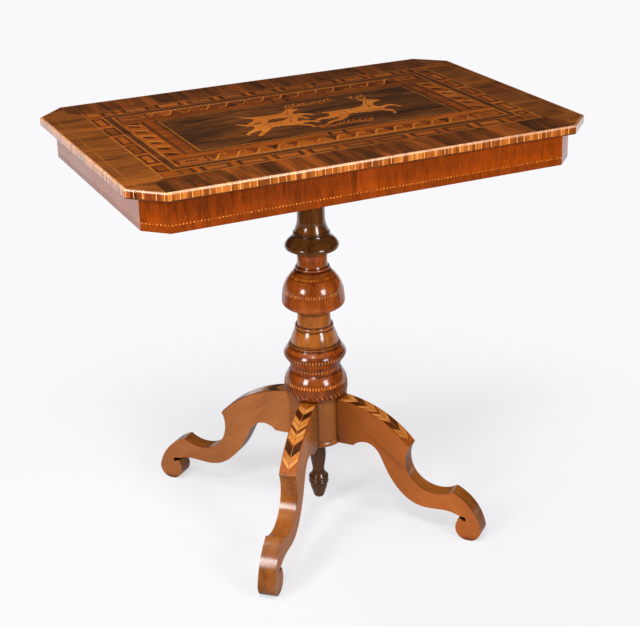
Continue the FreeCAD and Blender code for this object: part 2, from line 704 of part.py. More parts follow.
def main():
    make_top_board()
    make_edge_bands()
    make_border()
    make_inner_frame(make_inlaid_bands())
    make_frieze()
    make_glue_blocks()
    make_bearers()
    make_column()
    make_hub()
    make_drop()
    make_legs()
    os.makedirs("parts", exist_ok=True)
    for name, shape in pieces.items():
        shape.exportStep("parts/" + name + ".step")
        print(name, len(shape.Solids), round(shape.Volume), shape.isValid())


main()
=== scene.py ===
import math
from collections import defaultdict

import bmesh
import bpy
from mathutils import Matrix, Vector
from mathutils.bvhtree import BVHTree


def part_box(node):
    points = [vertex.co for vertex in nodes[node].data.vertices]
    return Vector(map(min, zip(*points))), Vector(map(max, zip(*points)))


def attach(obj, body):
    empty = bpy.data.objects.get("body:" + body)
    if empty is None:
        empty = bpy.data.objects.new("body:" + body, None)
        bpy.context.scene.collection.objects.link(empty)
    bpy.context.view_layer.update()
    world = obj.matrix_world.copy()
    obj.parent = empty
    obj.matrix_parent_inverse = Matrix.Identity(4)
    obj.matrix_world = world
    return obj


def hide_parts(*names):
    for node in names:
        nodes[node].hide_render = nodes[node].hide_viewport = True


# Looks of an inlaid occasional table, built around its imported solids. Metres, +Z up,
# the long side along X, the front long side towards -Y.

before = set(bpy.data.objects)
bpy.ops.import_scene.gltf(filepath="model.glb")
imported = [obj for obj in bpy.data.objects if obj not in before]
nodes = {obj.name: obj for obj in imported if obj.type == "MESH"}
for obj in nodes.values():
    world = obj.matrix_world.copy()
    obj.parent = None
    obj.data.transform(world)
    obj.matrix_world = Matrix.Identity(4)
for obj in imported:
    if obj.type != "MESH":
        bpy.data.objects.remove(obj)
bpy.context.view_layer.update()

MM = 0.001

# Camera of the photograph: angles in degrees, lengths in metres
CAMERA_AZIMUTH = -24.66
CAMERA_ELEVATION = 22.83
CAMERA_ROLL = -1.62
CAMERA_DISTANCE = 2.5871
CAMERA_ASIDE = 0.01075
CAMERA_AIM = 0.3861
CAMERA_LENS = 83.52
CAMERA_SENSOR = 36.0

# Studio: soft boxes by azimuth, elevation, distance, width, height and power
SOFT_BOXES = {
    "soft_box_left": (-66.0, 25.0, 2.0, 0.5, 0.64, 21.0),
    "soft_box_right": (16.0, 21.0, 2.0, 0.5, 0.64, 18.0),
    "overhead_left": (-36.0, 50.0, 1.7, 0.32, 0.32, 15.0),
    "overhead_side": (-103.0, 58.0, 2.0, 0.4, 0.4, 9.0),
    "overhead_right": (50.0, 58.0, 3.0, 0.5, 0.5, 5.0),
}
LIGHT_AIM = Vector((0, 0, 0.4))
CEILING_PLACE = Vector((0, 0.001, 3.2))
CEILING_SIZE = 2.2
CEILING_POWER = 6.0
# Light of the room below and above, by height: where it starts and ends, then its strength; and its least
STUDIO_LOW = (0.05, -0.02)
STUDIO_HIGH = (0.6, 0.95, 0.0, 0.45)
STUDIO_LEAST = 0.02
FLOOR_HALF = 9.0
PAPER_WHITE = (0.955, 0.952, 0.975, 1.0)
# Faint clouds of the paper: size and detail, then darker and lighter white
PAPER_CLOUD = (3.0, 3.0)
PAPER_TONES = ((0.94, 0.94, 0.96, 1.0), (0.98, 0.98, 1.0, 1.0))
# How much of the floor's white is its own: distances from the table, then shares
FLOOR_FADE = (0.3, 0.95, 0.64, 0.99)
# How the paper darkens towards the camera, where more light falls on it: distances, then shares
PAPER_EVEN = (-0.3, 0.7, 1.0, 0.66)
# Where the white paper ends on the camera's side: distances, then what polish reflects of it
PAPER_END = (0.7, 1.15, 1.0, 0.03)
# How much dimmer polish reflects the paper under the table, a painted shadow of the table: distances, then
# shares
PAPER_SHADE = (0.6, 1.75, 0.3, 1.0)
# Where it ends at the sides: distances and shares lost, first sideways, then towards the camera
PAPER_SIDE = (0.5, 0.85, 0.0, 0.95)
PAPER_BACK = (-0.8, -0.3, 0.0, 1.0)

# Legs: angle of each leg from the Y axis, and slope of their grain
FRONT_LEG_ANGLE = math.radians(41.5)
BACK_LEG_ANGLE = math.radians(38.2)
LEG_GRAIN = math.radians(38.0)


def tone(red, green, blue):
    """Colour as seen on a screen, 0 to 255, turned into the shader's linear values."""
    def linear(value):
        share = value / 255
        return share / 12.92 if share <= 0.04045 else ((share + 0.055) / 1.055) ** 2.4
    return (linear(red), linear(green), linear(blue), 1.0)


# Shader helpers

def put(tree, kind, inputs=(), **settings):
    """Add a node, set its properties and fill its inputs with values or links."""
    made = tree.nodes.new(kind)
    for key, value in settings.items():
        setattr(made, key, value)
    for key, value in dict(inputs).items():
        socket = made.inputs[key]
        if isinstance(value, bpy.types.NodeSocket):
            tree.links.new(value, socket)
        else:
            socket.default_value = value
    return made


def calc(tree, operation, *values):
    """Math node on values or links."""
    return put(tree, "ShaderNodeMath", dict(enumerate(values)), operation=operation).outputs[0]


def vector_calc(tree, operation, first, second):
    """Vector math node on two values or links."""
    return put(tree, "ShaderNodeVectorMath", {0: first, 1: second}, operation=operation).outputs[0]


def mixed(tree, factor, first, second, mode="MIX"):
    """Mix of two colours."""
    made = put(
        tree, "ShaderNodeMix", {0: factor, 6: first, 7: second},
        data_type="RGBA", blend_type=mode, clamp_factor=True)
    return made.outputs[2]


def ramped(tree, value, low, high, to_low=0.0, to_high=1.0):
    """Smooth step of a value between two limits."""
    made = put(
        tree, "ShaderNodeMapRange",
        {"Value": value, "From Min": low, "From Max": high, "To Min": to_low, "To Max": to_high},
        interpolation_type="SMOOTHSTEP")
    return made.outputs[0]


def noise(tree, vector, scale, detail, distortion=0.0):
    """Soft noise between 0 and 1."""
    return put(
        tree, "ShaderNodeTexNoise",
        {"Vector": vector, "Scale": scale, "Detail": detail, "Distortion": distortion}).outputs["Fac"]


def combined(tree, x, y, z):
    return put(tree, "ShaderNodeCombineXYZ", {0: x, 1: y, 2: z}).outputs[0]


def separated(tree, vector):
    return put(tree, "ShaderNodeSeparateXYZ", {0: vector}).outputs


def dotted(tree, vector, towards):
    """How far a place lies along a direction."""
    made = put(tree, "ShaderNodeVectorMath", {0: vector, 1: towards}, operation="DOT_PRODUCT")
    return made.outputs["Value"]


def turned_pair(tree, first, second, angle):
    """Two coordinates turned by an angle."""
    sine, cosine = math.sin(angle), math.cos(angle)
    across = calc(tree, "MULTIPLY_ADD", first, cosine, calc(tree, "MULTIPLY", second, -sine))
    return across, calc(tree, "MULTIPLY_ADD", first, sine, calc(tree, "MULTIPLY", second, cosine))


def mixed_shaders(tree, factor, first, second):
    """Mix of two shader nodes."""
    return put(tree, "ShaderNodeMixShader", {0: factor, 1: first.outputs[0], 2: second.outputs[0]})


def plug(tree, sockets, values):
    """Link values to the sockets of these names."""
    for label, value in values.items():
        tree.links.new(value, sockets[label])


def grouped(tree, group, inputs):
    """Place a shader group in a material."""
    return put(tree, "ShaderNodeGroup", inputs, node_tree=group).outputs


def cleared(owner):
    """Emptied node tree of a material or of the world."""
    owner.use_nodes = True
    owner.node_tree.nodes.clear()
    return owner.node_tree


def new_group(name, inputs, outputs):
    """Empty shader group with named sockets: its tree, its inputs and its outputs. An input starts with a
    number or a colour, or with None if it is a place; an output has a kind."""
    tree = bpy.data.node_groups.new(name, "ShaderNodeTree")
    for label, value in inputs.items():
        kind = "Vector" if value is None else "Color" if isinstance(value, tuple) else "Float"
        socket = tree.interface.new_socket(label, in_out="INPUT", socket_type="NodeSocket" + kind)
        if value is not None:
            socket.default_value = value
    for label, kind in outputs.items():
        tree.interface.new_socket(label, in_out="OUTPUT", socket_type="NodeSocket" + kind)
    return tree, tree.nodes.new("NodeGroupInput").outputs, tree.nodes.new("NodeGroupOutput").inputs


# Layers of a wood's figure: stretch along and across the grain, detail, distortion and share of the tone
GRAIN_LAYERS = (
    ((5, 26, 26), 4.0, 0.8, 0.5), ((9, 110, 110), 3.0, 1.4, 0.35), ((22, 620, 620), 3.0, 0.0, 0.25))
PORE_STRETCH = (150, 2600, 2600)
PORE_EDGE = (0.56, 0.7)
# Height of the pores and of the finest layer
PORE_HEIGHT = -0.6
LAYER_HEIGHT = 0.25
# Tone that the figure is spread about, and where it turns from dark to middle and from middle to light
FIGURE_MIDDLE = 0.55
DARK_EDGE = (0.36, 0.55)
LIGHT_EDGE = (0.53, 0.74)


def make_wood_figure():
    """Figure of a polished wood with its grain along X: its colour and the height of its pores."""
    tree, given, result = new_group(
        "wood_figure",
        {"Place": None, "Light": (0.4, 0.15, 0.05, 1), "Middle": (0.3, 0.1, 0.03, 1),
         "Dark": (0.1, 0.03, 0.01, 1), "Figure": 1.0, "Depth": 1.0, "Bias": 0.0, "Pores": 0.4},
        {"Colour": "Color", "Height": "Float"})
    place = vector_calc(tree, "MULTIPLY", given["Place"], combined(tree, *[given["Figure"]] * 3))
    level = 0.0
    for stretch, detail, distortion, share in GRAIN_LAYERS:
        layer = noise(tree, vector_calc(tree, "MULTIPLY", place, stretch), 1.0, detail, distortion)
        level = calc(tree, "MULTIPLY_ADD", layer, share, level)
    pore = noise(tree, vector_calc(tree, "MULTIPLY", given["Place"], PORE_STRETCH), 1.0, 2.0)
    pore = ramped(tree, pore, *PORE_EDGE)
    level = calc(tree, "SUBTRACT", level, FIGURE_MIDDLE)
    level = calc(tree, "MULTIPLY_ADD", level, given["Depth"], FIGURE_MIDDLE)
    level = calc(tree, "ADD", level, given["Bias"])
    colour = mixed(tree, ramped(tree, level, *DARK_EDGE), given["Dark"], given["Middle"])
    colour = mixed(tree, ramped(tree, level, *LIGHT_EDGE), colour, given["Light"])
    colour = mixed(tree, calc(tree, "MULTIPLY", pore, given["Pores"]), colour, given["Dark"])
    height = calc(tree, "MULTIPLY_ADD", pore, PORE_HEIGHT, calc(tree, "MULTIPLY", layer, LAYER_HEIGHT))
    plug(tree, result, {"Colour": colour, "Height": height})
    return tree


def make_veneer_leaves():
    """Leaves of veneer side by side along one direction: a tone for each leaf and the seams."""
    tree, given, result = new_group(
        "veneer_leaves", {"Along": 0.0, "Leaf": 0.05, "Seam": 0.0006}, {"Tone": "Float", "Seam": "Float"})
    along = calc(tree, "DIVIDE", given["Along"], given["Leaf"])
    cell = put(tree, "ShaderNodeTexVoronoi", {"W": along, "Scale": 1.0}, voronoi_dimensions="1D")
    edge = put(
        tree, "ShaderNodeTexVoronoi", {"W": along, "Scale": 1.0},
        voronoi_dimensions="1D", feature="DISTANCE_TO_EDGE")
    tone_of_leaf = separated(tree, cell.outputs["Color"])[0]
    width = calc(tree, "DIVIDE", given["Seam"], given["Leaf"])
    seam = calc(tree, "LESS_THAN", edge.outputs["Distance"], width)
    plug(tree, result, {"Tone": tone_of_leaf, "Seam": seam})
    return tree


# Hand polish: size and detail of its clouds and of its rub marks, and the part of the unevenness that each
# makes; then how the unevenness changes the roughness and the coat
POLISH_CLOUD = (24.0, 4.0)
POLISH_RUB = (210.0, 2.0)
CLOUD_SHARE = 0.6
RUB_SHARE = 0.4
UNEVEN_ROUGHNESS = (0.9, 0.55)
UNEVEN_COAT = (0.9, 0.3, 0.75, 1.0)


def make_polish():
    """Hand polish: cloudy roughness and fine wear over a surface."""
    tree, given, result = new_group(
        "polish", {"Place": None, "Roughness": 0.3, "Coat": 0.8}, {"Roughness": "Float", "Coat": "Float"})
    cloud = noise(tree, given["Place"], *POLISH_CLOUD)
    rub = noise(tree, given["Place"], *POLISH_RUB)
    uneven = calc(tree, "MULTIPLY_ADD", cloud, CLOUD_SHARE, calc(tree, "MULTIPLY", rub, RUB_SHARE))
    rough = calc(tree, "MULTIPLY", given["Roughness"], calc(tree, "MULTIPLY_ADD", uneven, *UNEVEN_ROUGHNESS))
    coat = calc(tree, "MULTIPLY", given["Coat"], ramped(tree, uneven, *UNEVEN_COAT))
    plug(tree, result, {"Roughness": rough, "Coat": coat})
    return tree


def make_leg_grain():
    """Places on any of the four legs, turned so that the grain runs down the leg along X."""
    tree, given, result = new_group("leg_grain", {"Place": None}, {"Place": "Vector"})
    x, y, z = separated(tree, given["Place"])
    x, y = calc(tree, "ABSOLUTE", x), calc(tree, "ABSOLUTE", y)
    across, out = turned_pair(tree, x, y, FRONT_LEG_ANGLE)
    along, up = turned_pair(tree, out, z, LEG_GRAIN)
    plug(tree, result, {"Place": combined(tree, along, up, across)})
    return tree


# Grooves of the pillar in millimetres: their levels, how far the painted shade and dark wax in each groove
# spreads and wanders; then its strength, and the size and detail of its patches
GROOVE_LEVELS = (284, 298, 331, 337.5, 362.5, 369.5, 393.5, 471.5, 478.5, 502.5, 536.5, 540.5)
GROOVE_SPREAD = 3.2
GROOVE_WANDER = 4.0
GROOVE_SHADE = 0.58
GROOVE_PATCHES = (60.0, 3.0)
# Painted shade in the angles between pieces: how open the angle is where it starts and ends, then its
# strength
CREVICE_SHADE = (0.95, 0.55, 0.0, 0.85)
CREVICE_SAMPLES = 8


def make_shaded_grooves():
    """Painted shade and dark wax gathered at each groove of the pillar."""
    tree, given, result = new_group("shaded_grooves", {"Place": None}, {"Shade": "Float"})
    patchy = noise(tree, given["Place"], *GROOVE_PATCHES)
    patchy = calc(tree, "MULTIPLY_ADD", patchy, GROOVE_WANDER * MM, -GROOVE_WANDER / 2 * MM)
    level = calc(tree, "ADD", separated(tree, given["Place"])[2], patchy)
    shade = 0.0
    for groove in GROOVE_LEVELS:
        away = calc(tree, "ABSOLUTE", calc(tree, "SUBTRACT", level, groove * MM))
        shade_and_wax = ramped(tree, away, GROOVE_SPREAD * MM, 0.0, 0.0, GROOVE_SHADE)
        shade = calc(tree, "MAXIMUM", shade_and_wax, shade)
    plug(tree, result, {"Shade": shade})
    return tree


def make_angle_shade():
    """Painted shade in the angles between pieces, darker where near surfaces close in."""
    tree, given, result = new_group("angle_shade", {"Reach": 0.01}, {"Shade": "Float"})
    near = put(tree, "ShaderNodeAmbientOcclusion", {"Distance": given["Reach"]}, samples=CREVICE_SAMPLES)
    plug(tree, result, {"Shade": ramped(tree, near.outputs["AO"], *CREVICE_SHADE)})
    return tree


ANGLE_SHADE_GROUP = make_angle_shade()
GROOVE_SHADE_GROUP = make_shaded_grooves()
WOOD_FIGURE = make_wood_figure()
VENEER_LEAVES = make_veneer_leaves()
POLISH = make_polish()
LEG_GRAIN_GROUP = make_leg_grain()


def bare_material(name):
    """Material with a shader and an output, and its places on the object in metres."""
    material = bpy.data.materials.new(name)
    tree = cleared(material)
    shader = put(tree, "ShaderNodeBsdfPrincipled")
    put(tree, "ShaderNodeOutputMaterial", {"Surface": shader.outputs[0]})
    place = put(tree, "ShaderNodeTexCoord").outputs["Object"]
    return material, tree, shader, place


# Sheen of the wood under its lacquer, the lacquer's refraction, and strength and depth of the pores
WOOD_SHEEN = 0.12
LACQUER_IOR = 1.55
PORE_BUMP = 0.04
PORE_DEPTH = 0.4 * MM


def finish_wood(tree, shader, place, colour, height, roughness=0.3, coat=0.85, coat_blur=0.08):
    """Colour, polish and pores of a wood on its shader."""
    polish = grouped(tree, POLISH, {"Place": place, "Roughness": roughness, "Coat": coat})
    raised = put(tree, "ShaderNodeBump", {"Height": height, "Strength": PORE_BUMP, "Distance": PORE_DEPTH})
    plug(tree, shader.inputs, {
        "Base Color": colour, "Roughness": polish["Roughness"], "Coat Weight": polish["Coat"],
        "Normal": raised.outputs[0]})
    shader.inputs["Specular IOR Level"].default_value = WOOD_SHEEN
    shader.inputs["Coat Roughness"].default_value = coat_blur
    shader.inputs["Coat IOR"].default_value = LACQUER_IOR


def along_grain(tree, place, grain):
    """Places turned so that the grain's axis becomes X."""
    if grain == "leg":
        return grouped(tree, LEG_GRAIN_GROUP, {"Place": place})["Place"]
    x, y, z = separated(tree, place)
    order = {"x": (x, y, z), "y": (y, x, z), "z": (z, x, y)}[grain]
    return combined(tree, *order)


def leaf_axis(tree, place, axis):
    """Distance along the row of leaves: along X, along Y or along the four canted corners."""
    x, y = separated(tree, place)[:2]
    if axis == "CANT":
        across = calc(tree, "SUBTRACT", calc(tree, "ABSOLUTE", x), calc(tree, "ABSOLUTE", y))
        return calc(tree, "MULTIPLY", across, math.sqrt(0.5))
    return {"X": x, "Y": y}[axis]


# Where the painted highlight along the top's upper arris starts and where it is palest, in metres, then
# the size and detail of its patches, and how strong they are
ARRIS_HIGHLIGHT_LEVELS = (0.7362, 0.7388)
ARRIS_HIGHLIGHT_PATCHES = (35.0, 3.0)
ARRIS_HIGHLIGHT_STRENGTH = (0.4, 0.2)
# Ends in millimetres of the rows of leaves, of the pillar's zones by height, and of a leg's painted light
# and shade by distance from the pillar's axis
ROW_ENDS = (-400.0, 400.0)
ZONE_ENDS = (200.0, 560.0)
PAINTED_LIGHT_ENDS = (40.0, 340.0)
# How far the grain slides from one leaf to the next, and step of the fine lines between leaves
LOOSE_SLIDE = 4.0
ROW_SLIDE = 3.0
SEAM_STEP_SHARE = 1.7


def graded(tree, along, ends, stops, change="LINEAR"):
    """Grey that changes between given places along a line, smoothly or in steps."""
    low, high = ends
    share = calc(tree, "MULTIPLY_ADD", along, 1 / (high - low) / MM, -low / (high - low))
    made = put(tree, "ShaderNodeValToRGB", {"Fac": share})
    ramp = made.color_ramp
    ramp.interpolation = change
    for place, (distance, level) in enumerate(stops):
        position = (distance - low) / (high - low)
        stop = ramp.elements[place] if place < 2 else ramp.elements.new(position)
        stop.position = position
        stop.color = (level, level, level, 1)
    return made.outputs["Color"]


def slid(tree, place, chance, reach):
    """Places moved so that each leaf shows another part of the wood."""
    slide = calc(tree, "MULTIPLY", chance, reach)
    return vector_calc(tree, "ADD", place, combined(tree, slide, slide, 0.0))


def wood(name, grain, tones, figure=1.0, depth=1.0, bias=0.0, pores=0.4, leaves=None, varied=None, seams=None,
         arris_highlight=None, shaded_grooves=False, zones=None, painted_light=None, angle_shade=None, **finish):
    """Polished wood in a light, a middle and a dark tone; leaves gives the axis of side by side leaves,
    their size or a list of starts and tones, and their strength, varied how much one loose leaf differs from
    the next, seams the colour of fine lines between leaves, arris_highlight the painted highlight along the
    top's upper arris, shaded_grooves the painted shade and dark wax of turned work, zones its lighter and
    darker levels, painted_light the painted light and shade of a leg from the hub to the foot, angle_shade
    how far the painted shade in its angles reaches."""
    material, tree, shader, place = bare_material(name)
    light, middle, dark = [tone(*shade) for shade in tones]
    grain_place = along_grain(tree, place, grain)
    if varied:
        chance = put(tree, "ShaderNodeNewGeometry").outputs["Random Per Island"]
        bias = calc(tree, "MULTIPLY_ADD", calc(tree, "SUBTRACT", chance, 0.5), varied, bias)
        grain_place = slid(tree, grain_place, chance, LOOSE_SLIDE)
    if leaves:
        axis, size, strength = leaves
        along = leaf_axis(tree, place, axis)
        if isinstance(size, tuple):
            leaf_tone = separated(tree, graded(tree, along, ROW_ENDS, size, "CONSTANT"))[0]
        else:
            leaf_tone = grouped(tree, VENEER_LEAVES, {"Along": along, "Leaf": size})["Tone"]
        bias = calc(tree, "MULTIPLY_ADD", calc(tree, "SUBTRACT", leaf_tone, 0.5), strength, bias)
        grain_place = slid(tree, grain_place, leaf_tone, ROW_SLIDE)
    made = grouped(tree, WOOD_FIGURE, {
        "Place": grain_place, "Light": light, "Middle": middle, "Dark": dark,
        "Figure": figure, "Depth": depth, "Bias": bias, "Pores": pores})
    colour = made["Colour"]
    if seams:
        leaf = grouped(tree, VENEER_LEAVES, {"Along": along, "Leaf": size * SEAM_STEP_SHARE})
        colour = mixed(tree, leaf["Seam"], colour, tone(*seams))
    # Painted highlight along the top's upper arris, in patches
    if arris_highlight:
        painted_highlight = calc(tree, "MULTIPLY_ADD", noise(tree, place, *ARRIS_HIGHLIGHT_PATCHES), *ARRIS_HIGHLIGHT_STRENGTH)
        painted_highlight = calc(tree, "MULTIPLY", painted_highlight, ramped(tree, separated(tree, place)[2], *ARRIS_HIGHLIGHT_LEVELS))
        colour = mixed(tree, painted_highlight, colour, tone(*arris_highlight))
    # Painted shade and dark wax at each groove of turned work
    if shaded_grooves:
        colour = mixed(tree, grouped(tree, GROOVE_SHADE_GROUP, {"Place": place})["Shade"], colour, dark, "MULTIPLY")
    if zones:
        level = separated(tree, place)[2]
        colour = mixed(tree, 1.0, colour, graded(tree, level, ZONE_ENDS, zones), "MULTIPLY")
    # Painted light and shade of a leg, by distance from the pillar's axis
    if painted_light:
        x, y = separated(tree, place)[:2]
        out = calc(tree, "SQRT", calc(tree, "MULTIPLY_ADD", x, x, calc(tree, "MULTIPLY", y, y)))
        colour = mixed(tree, 1.0, colour, graded(tree, out, PAINTED_LIGHT_ENDS, painted_light), "MULTIPLY")
    # Painted shade in the angles between pieces
    if angle_shade:
        colour = mixed(tree, grouped(tree, ANGLE_SHADE_GROUP, {"Reach": angle_shade})["Shade"], colour, dark, "MULTIPLY")
    finish_wood(tree, shader, place, colour, made["Height"], **finish)
    return material


# Leaves of the borders and the front frieze: where each starts, and its tone
FRONT_LEAVES = (
    (-400, 0.34), (-278, 0.485), (-188, 0.26), (-148, 0.73), (-88, 0.3), (-30, 0.34), (55, 0.5), (110, 0.3),
    (160, 0.36), (210, 0.66), (270, 0.12), (330, 0.4))
BACK_LEAVES = (
    (-400, 0.4), (-250, 0.6), (-190, 0.4), (-90, 0.6), (-20, 0.35), (60, 0.5), (120, 0.3), (210, 0.6),
    (280, 0.4))
LEFT_LEAVES = ((-300, 0.62), (-130, 0.4), (-70, 0.7), (10, 0.5), (90, 0.78), (160, 0.45))
RIGHT_LEAVES = ((-300, 0.35), (-150, 0.55), (-60, 0.4), (40, 0.66), (120, 0.4), (190, 0.55))
FRIEZE_LEAVES = ((-400, 0.2), (-250, 0.36), (-120, 0.34), (-35, 1.0), (0, 0.56), (150, 0.74), (260, 0.8))
# Length of the leaves of the back frieze, and of the blocks of the top's edge, in metres
BACK_FRIEZE_LEAF = 0.1
EDGE_BLOCK = 0.0085
# How strongly the tone of the leaves tells on the long and short borders and on the frieze
LONG_STRENGTH = 0.34
SHORT_STRENGTH = 0.26
FRIEZE_STRENGTH = 0.24
# Tone of the orange bands from the front to the back of the top, darker towards the back: painted shade
TAN_SHADE_TO_BACK = ((-400, 0.5), (-107, 0.34), (107, 0.16))
# Lighter and darker levels of the turned pieces: height and share of the light kept
TURNED_ZONES = (
    (238, 0.8), (246, 0.7), (256, 0.5), (268, 0.53), (282, 0.75), (300, 0.9), (320, 0.85), (334, 1.0),
    (414, 1.0), (428, 0.84), (440, 0.8), (450, 1.0), (464, 0.8), (474, 0.85), (500, 1.0))
# Darker levels of the neck: painted shade under the top
SHADED_NECK_ZONES = ((500, 1.0), (509, 1.0), (518, 0.66), (532, 0.68), (542, 1.0))
# Legs: light, middle and dark tone of each plank, and its painted light and shade from the hub to the foot
RIGHT_PLANK = (
    ((202, 115, 48), (176, 94, 34), (132, 66, 22)),
    ((58, 0.42), (105, 0.68), (170, 0.8), (215, 1.0), (300, 0.84)))
LEG_PLANKS = {
    "front_right": RIGHT_PLANK,
    "back_right": RIGHT_PLANK,
    "back_left": (
        ((209, 129, 70), (182, 107, 52), (137, 75, 36)),
        ((60, 0.95), (130, 1.0), (200, 0.76), (260, 0.76), (310, 0.74))),
    "front_left": (
        ((219, 136, 74), (193, 115, 56), (146, 82, 38)),
        ((55, 0.5), (80, 0.58), (118, 1.0), (180, 0.86), (300, 0.7))),
}
LEG_POLISH = {"depth": 0.6, "pores": 0.25, "coat": 0.5, "coat_blur": 0.2, "angle_shade": 0.012}
TURNED = {"coat": 0.9, "coat_blur": 0.13, "depth": 1.15, "shaded_grooves": True, "angle_shade": 0.008}
# Borders of the top, frieze, and blocks of the top's edge along its sides and its cants: tones and polish
LONG_BORDER = ((158, 78, 23), (108, 54, 15), (64, 32, 9))
SHORT_BORDER = ((155, 84, 27), (121, 64, 18), (77, 39, 10))
FRIEZE = ((170, 70, 5), (144, 59, 4), (108, 44, 5))
EDGE = ((200, 116, 46), (166, 85, 27), (124, 59, 18))
CANT = ((154, 78, 30), (120, 55, 18), (78, 32, 10))
EDGE_POLISH = {"figure": 2.2, "depth": 1.2, "seams": (232, 164, 92), "coat": 1.0, "coat_blur": 0.05}
# Colours of the painted highlight along the upper arris of the edge and of its cants
EDGE_HIGHLIGHT = (242, 200, 164)
CANT_HIGHLIGHT = (222, 160, 118)
FRIEZE_POLISH = {"figure": 4.0, "depth": 1.2, "pores": 0.5, "coat": 0.45, "angle_shade": 0.012}
# Woods by finish: name, axis of the grain, light, middle and dark tone, and what differs from plain polish
WOODS = {
    # Top and front faces of the legs: a darker copy of their walnut as painted shade
    "shaded_leg_face": ("shaded_leg_face", "leg", ((176, 102, 40), (148, 82, 28), (102, 52, 16)), dict(
        coat=0.8, coat_blur=0.15, painted_light=((50, 0.9), (230, 1.0), (290, 0.8)), angle_shade=0.012)),
    "leg_arris": ("leg_arris", "leg", ((126, 70, 26), (98, 52, 17), (64, 32, 9)), dict(
        coat=0.7, coat_blur=0.2)),
    "turned": ("turned_walnut", "z", ((192, 97, 28), (162, 75, 16), (84, 34, 7)), dict(
        figure=1.5, zones=TURNED_ZONES, **TURNED)),
    "cone": ("cone_walnut", "z", ((194, 114, 44), (164, 90, 30), (102, 51, 14)), dict(figure=1.5, **TURNED)),
    "ring": ("ring_ground", "z", ((142, 62, 16), (112, 44, 9), (62, 22, 4)), dict(coat=0.9, coat_blur=0.13)),
    "hub": ("hub_walnut", "z", ((176, 106, 48), (148, 86, 36), (104, 58, 24)), dict(
        depth=0.5, pores=0.3, coat=0.6, coat_blur=0.15, angle_shade=0.012)),
    # The neck is a darker copy of the turned walnut: painted shade under the top
    "neck": ("shaded_neck_walnut", "z", ((140, 82, 26), (104, 57, 14), (54, 26, 6)), dict(
        figure=1.5, zones=SHADED_NECK_ZONES, **TURNED)),
    "drop": ("drop_walnut", "z", ((106, 62, 30), (80, 45, 20), (46, 25, 10)), dict(
        coat_blur=0.13, angle_shade=0.008)),
    "panel": ("panel_walnut", "x", ((124, 68, 26), (86, 47, 17), (46, 23, 7)), dict(figure=1.2, depth=1.5)),
    "dark": ("dark_banding", "x", ((116, 57, 17), (86, 42, 12), (52, 25, 7)), {}),
    "tan": ("orange_fruitwood", "x", ((182, 94, 24), (150, 73, 13), (110, 50, 8)), dict(
        depth=1.4, leaves=("Y", TAN_SHADE_TO_BACK, 0.4))),
    "key_ground": ("key_ground", "x", ((160, 80, 20), (128, 62, 12), (92, 43, 8)), dict(depth=1.4)),
    "key_leaf": ("key_leaf", "x", ((176, 90, 24), (146, 71, 13), (108, 49, 8)), dict(pores=0.3, varied=0.28)),
    "tan_leaf": ("tan_leaf", "x", ((188, 98, 26), (158, 77, 15), (118, 53, 9)), dict(pores=0.2, varied=0.24)),
    "light_leaf": ("light_leaf", "x", ((210, 130, 50), (190, 108, 33), (154, 80, 20)), dict(
        pores=0.2, varied=0.14)),
    "knee_leaf": ("knee_leaf", "x", ((220, 150, 80), (204, 128, 58), (168, 96, 36)), dict(
        pores=0.2, varied=0.14)),
    "brown_leaf": ("brown_leaf", "x", ((142, 66, 20), (112, 50, 13), (78, 33, 9)), dict(varied=0.25)),
    "dark_leaf": ("dark_leaf", "y", ((106, 52, 17), (74, 36, 11), (44, 21, 7)), dict(varied=0.2)),
    "picture_leaf": ("picture_leaf", "x", ((218, 132, 52), (196, 108, 34), (162, 82, 22)), dict(pores=0.3)),
    "string": ("pale_string", "x", ((192, 124, 52), (166, 98, 34), (128, 72, 22)), dict(pores=0.15)),
    "margin_string": ("dim_string", "x", ((166, 102, 42), (142, 80, 28), (110, 60, 20)), dict(pores=0.15)),
    "dot": ("frieze_dots", "z", ((222, 132, 50), (200, 112, 38), (164, 82, 22)), dict(pores=0.1, varied=0.4)),
    "dash": ("pillar_dashes", "z", ((226, 134, 48), (206, 112, 32), (168, 80, 18)), dict(
        pores=0.1, varied=0.3)),
    # Downward faces of the top's edge: a darker copy of its wood as painted shade
    "shaded_edge_underside": ("shaded_edge_underside", "z", ((120, 66, 26), (92, 48, 17), (62, 30, 10)), dict(
        figure=2.2, coat=0.5)),
    "frieze_foot": ("frieze_foot", "z", ((156, 66, 6), (130, 54, 5), (100, 40, 4)), dict(
        figure=2.4, coat=0.6)),
    "frieze_side": ("frieze_side", "z", ((172, 78, 16), (152, 66, 11), (126, 53, 8)), dict(
        figure=2.4, depth=0.6, pores=0.2, coat_blur=0.25, angle_shade=0.012)),
    "carcase": ("bare_softwood", "x", ((196, 160, 112), (176, 138, 92), (142, 104, 64)), dict(
        roughness=0.6, coat=0.0)),
}


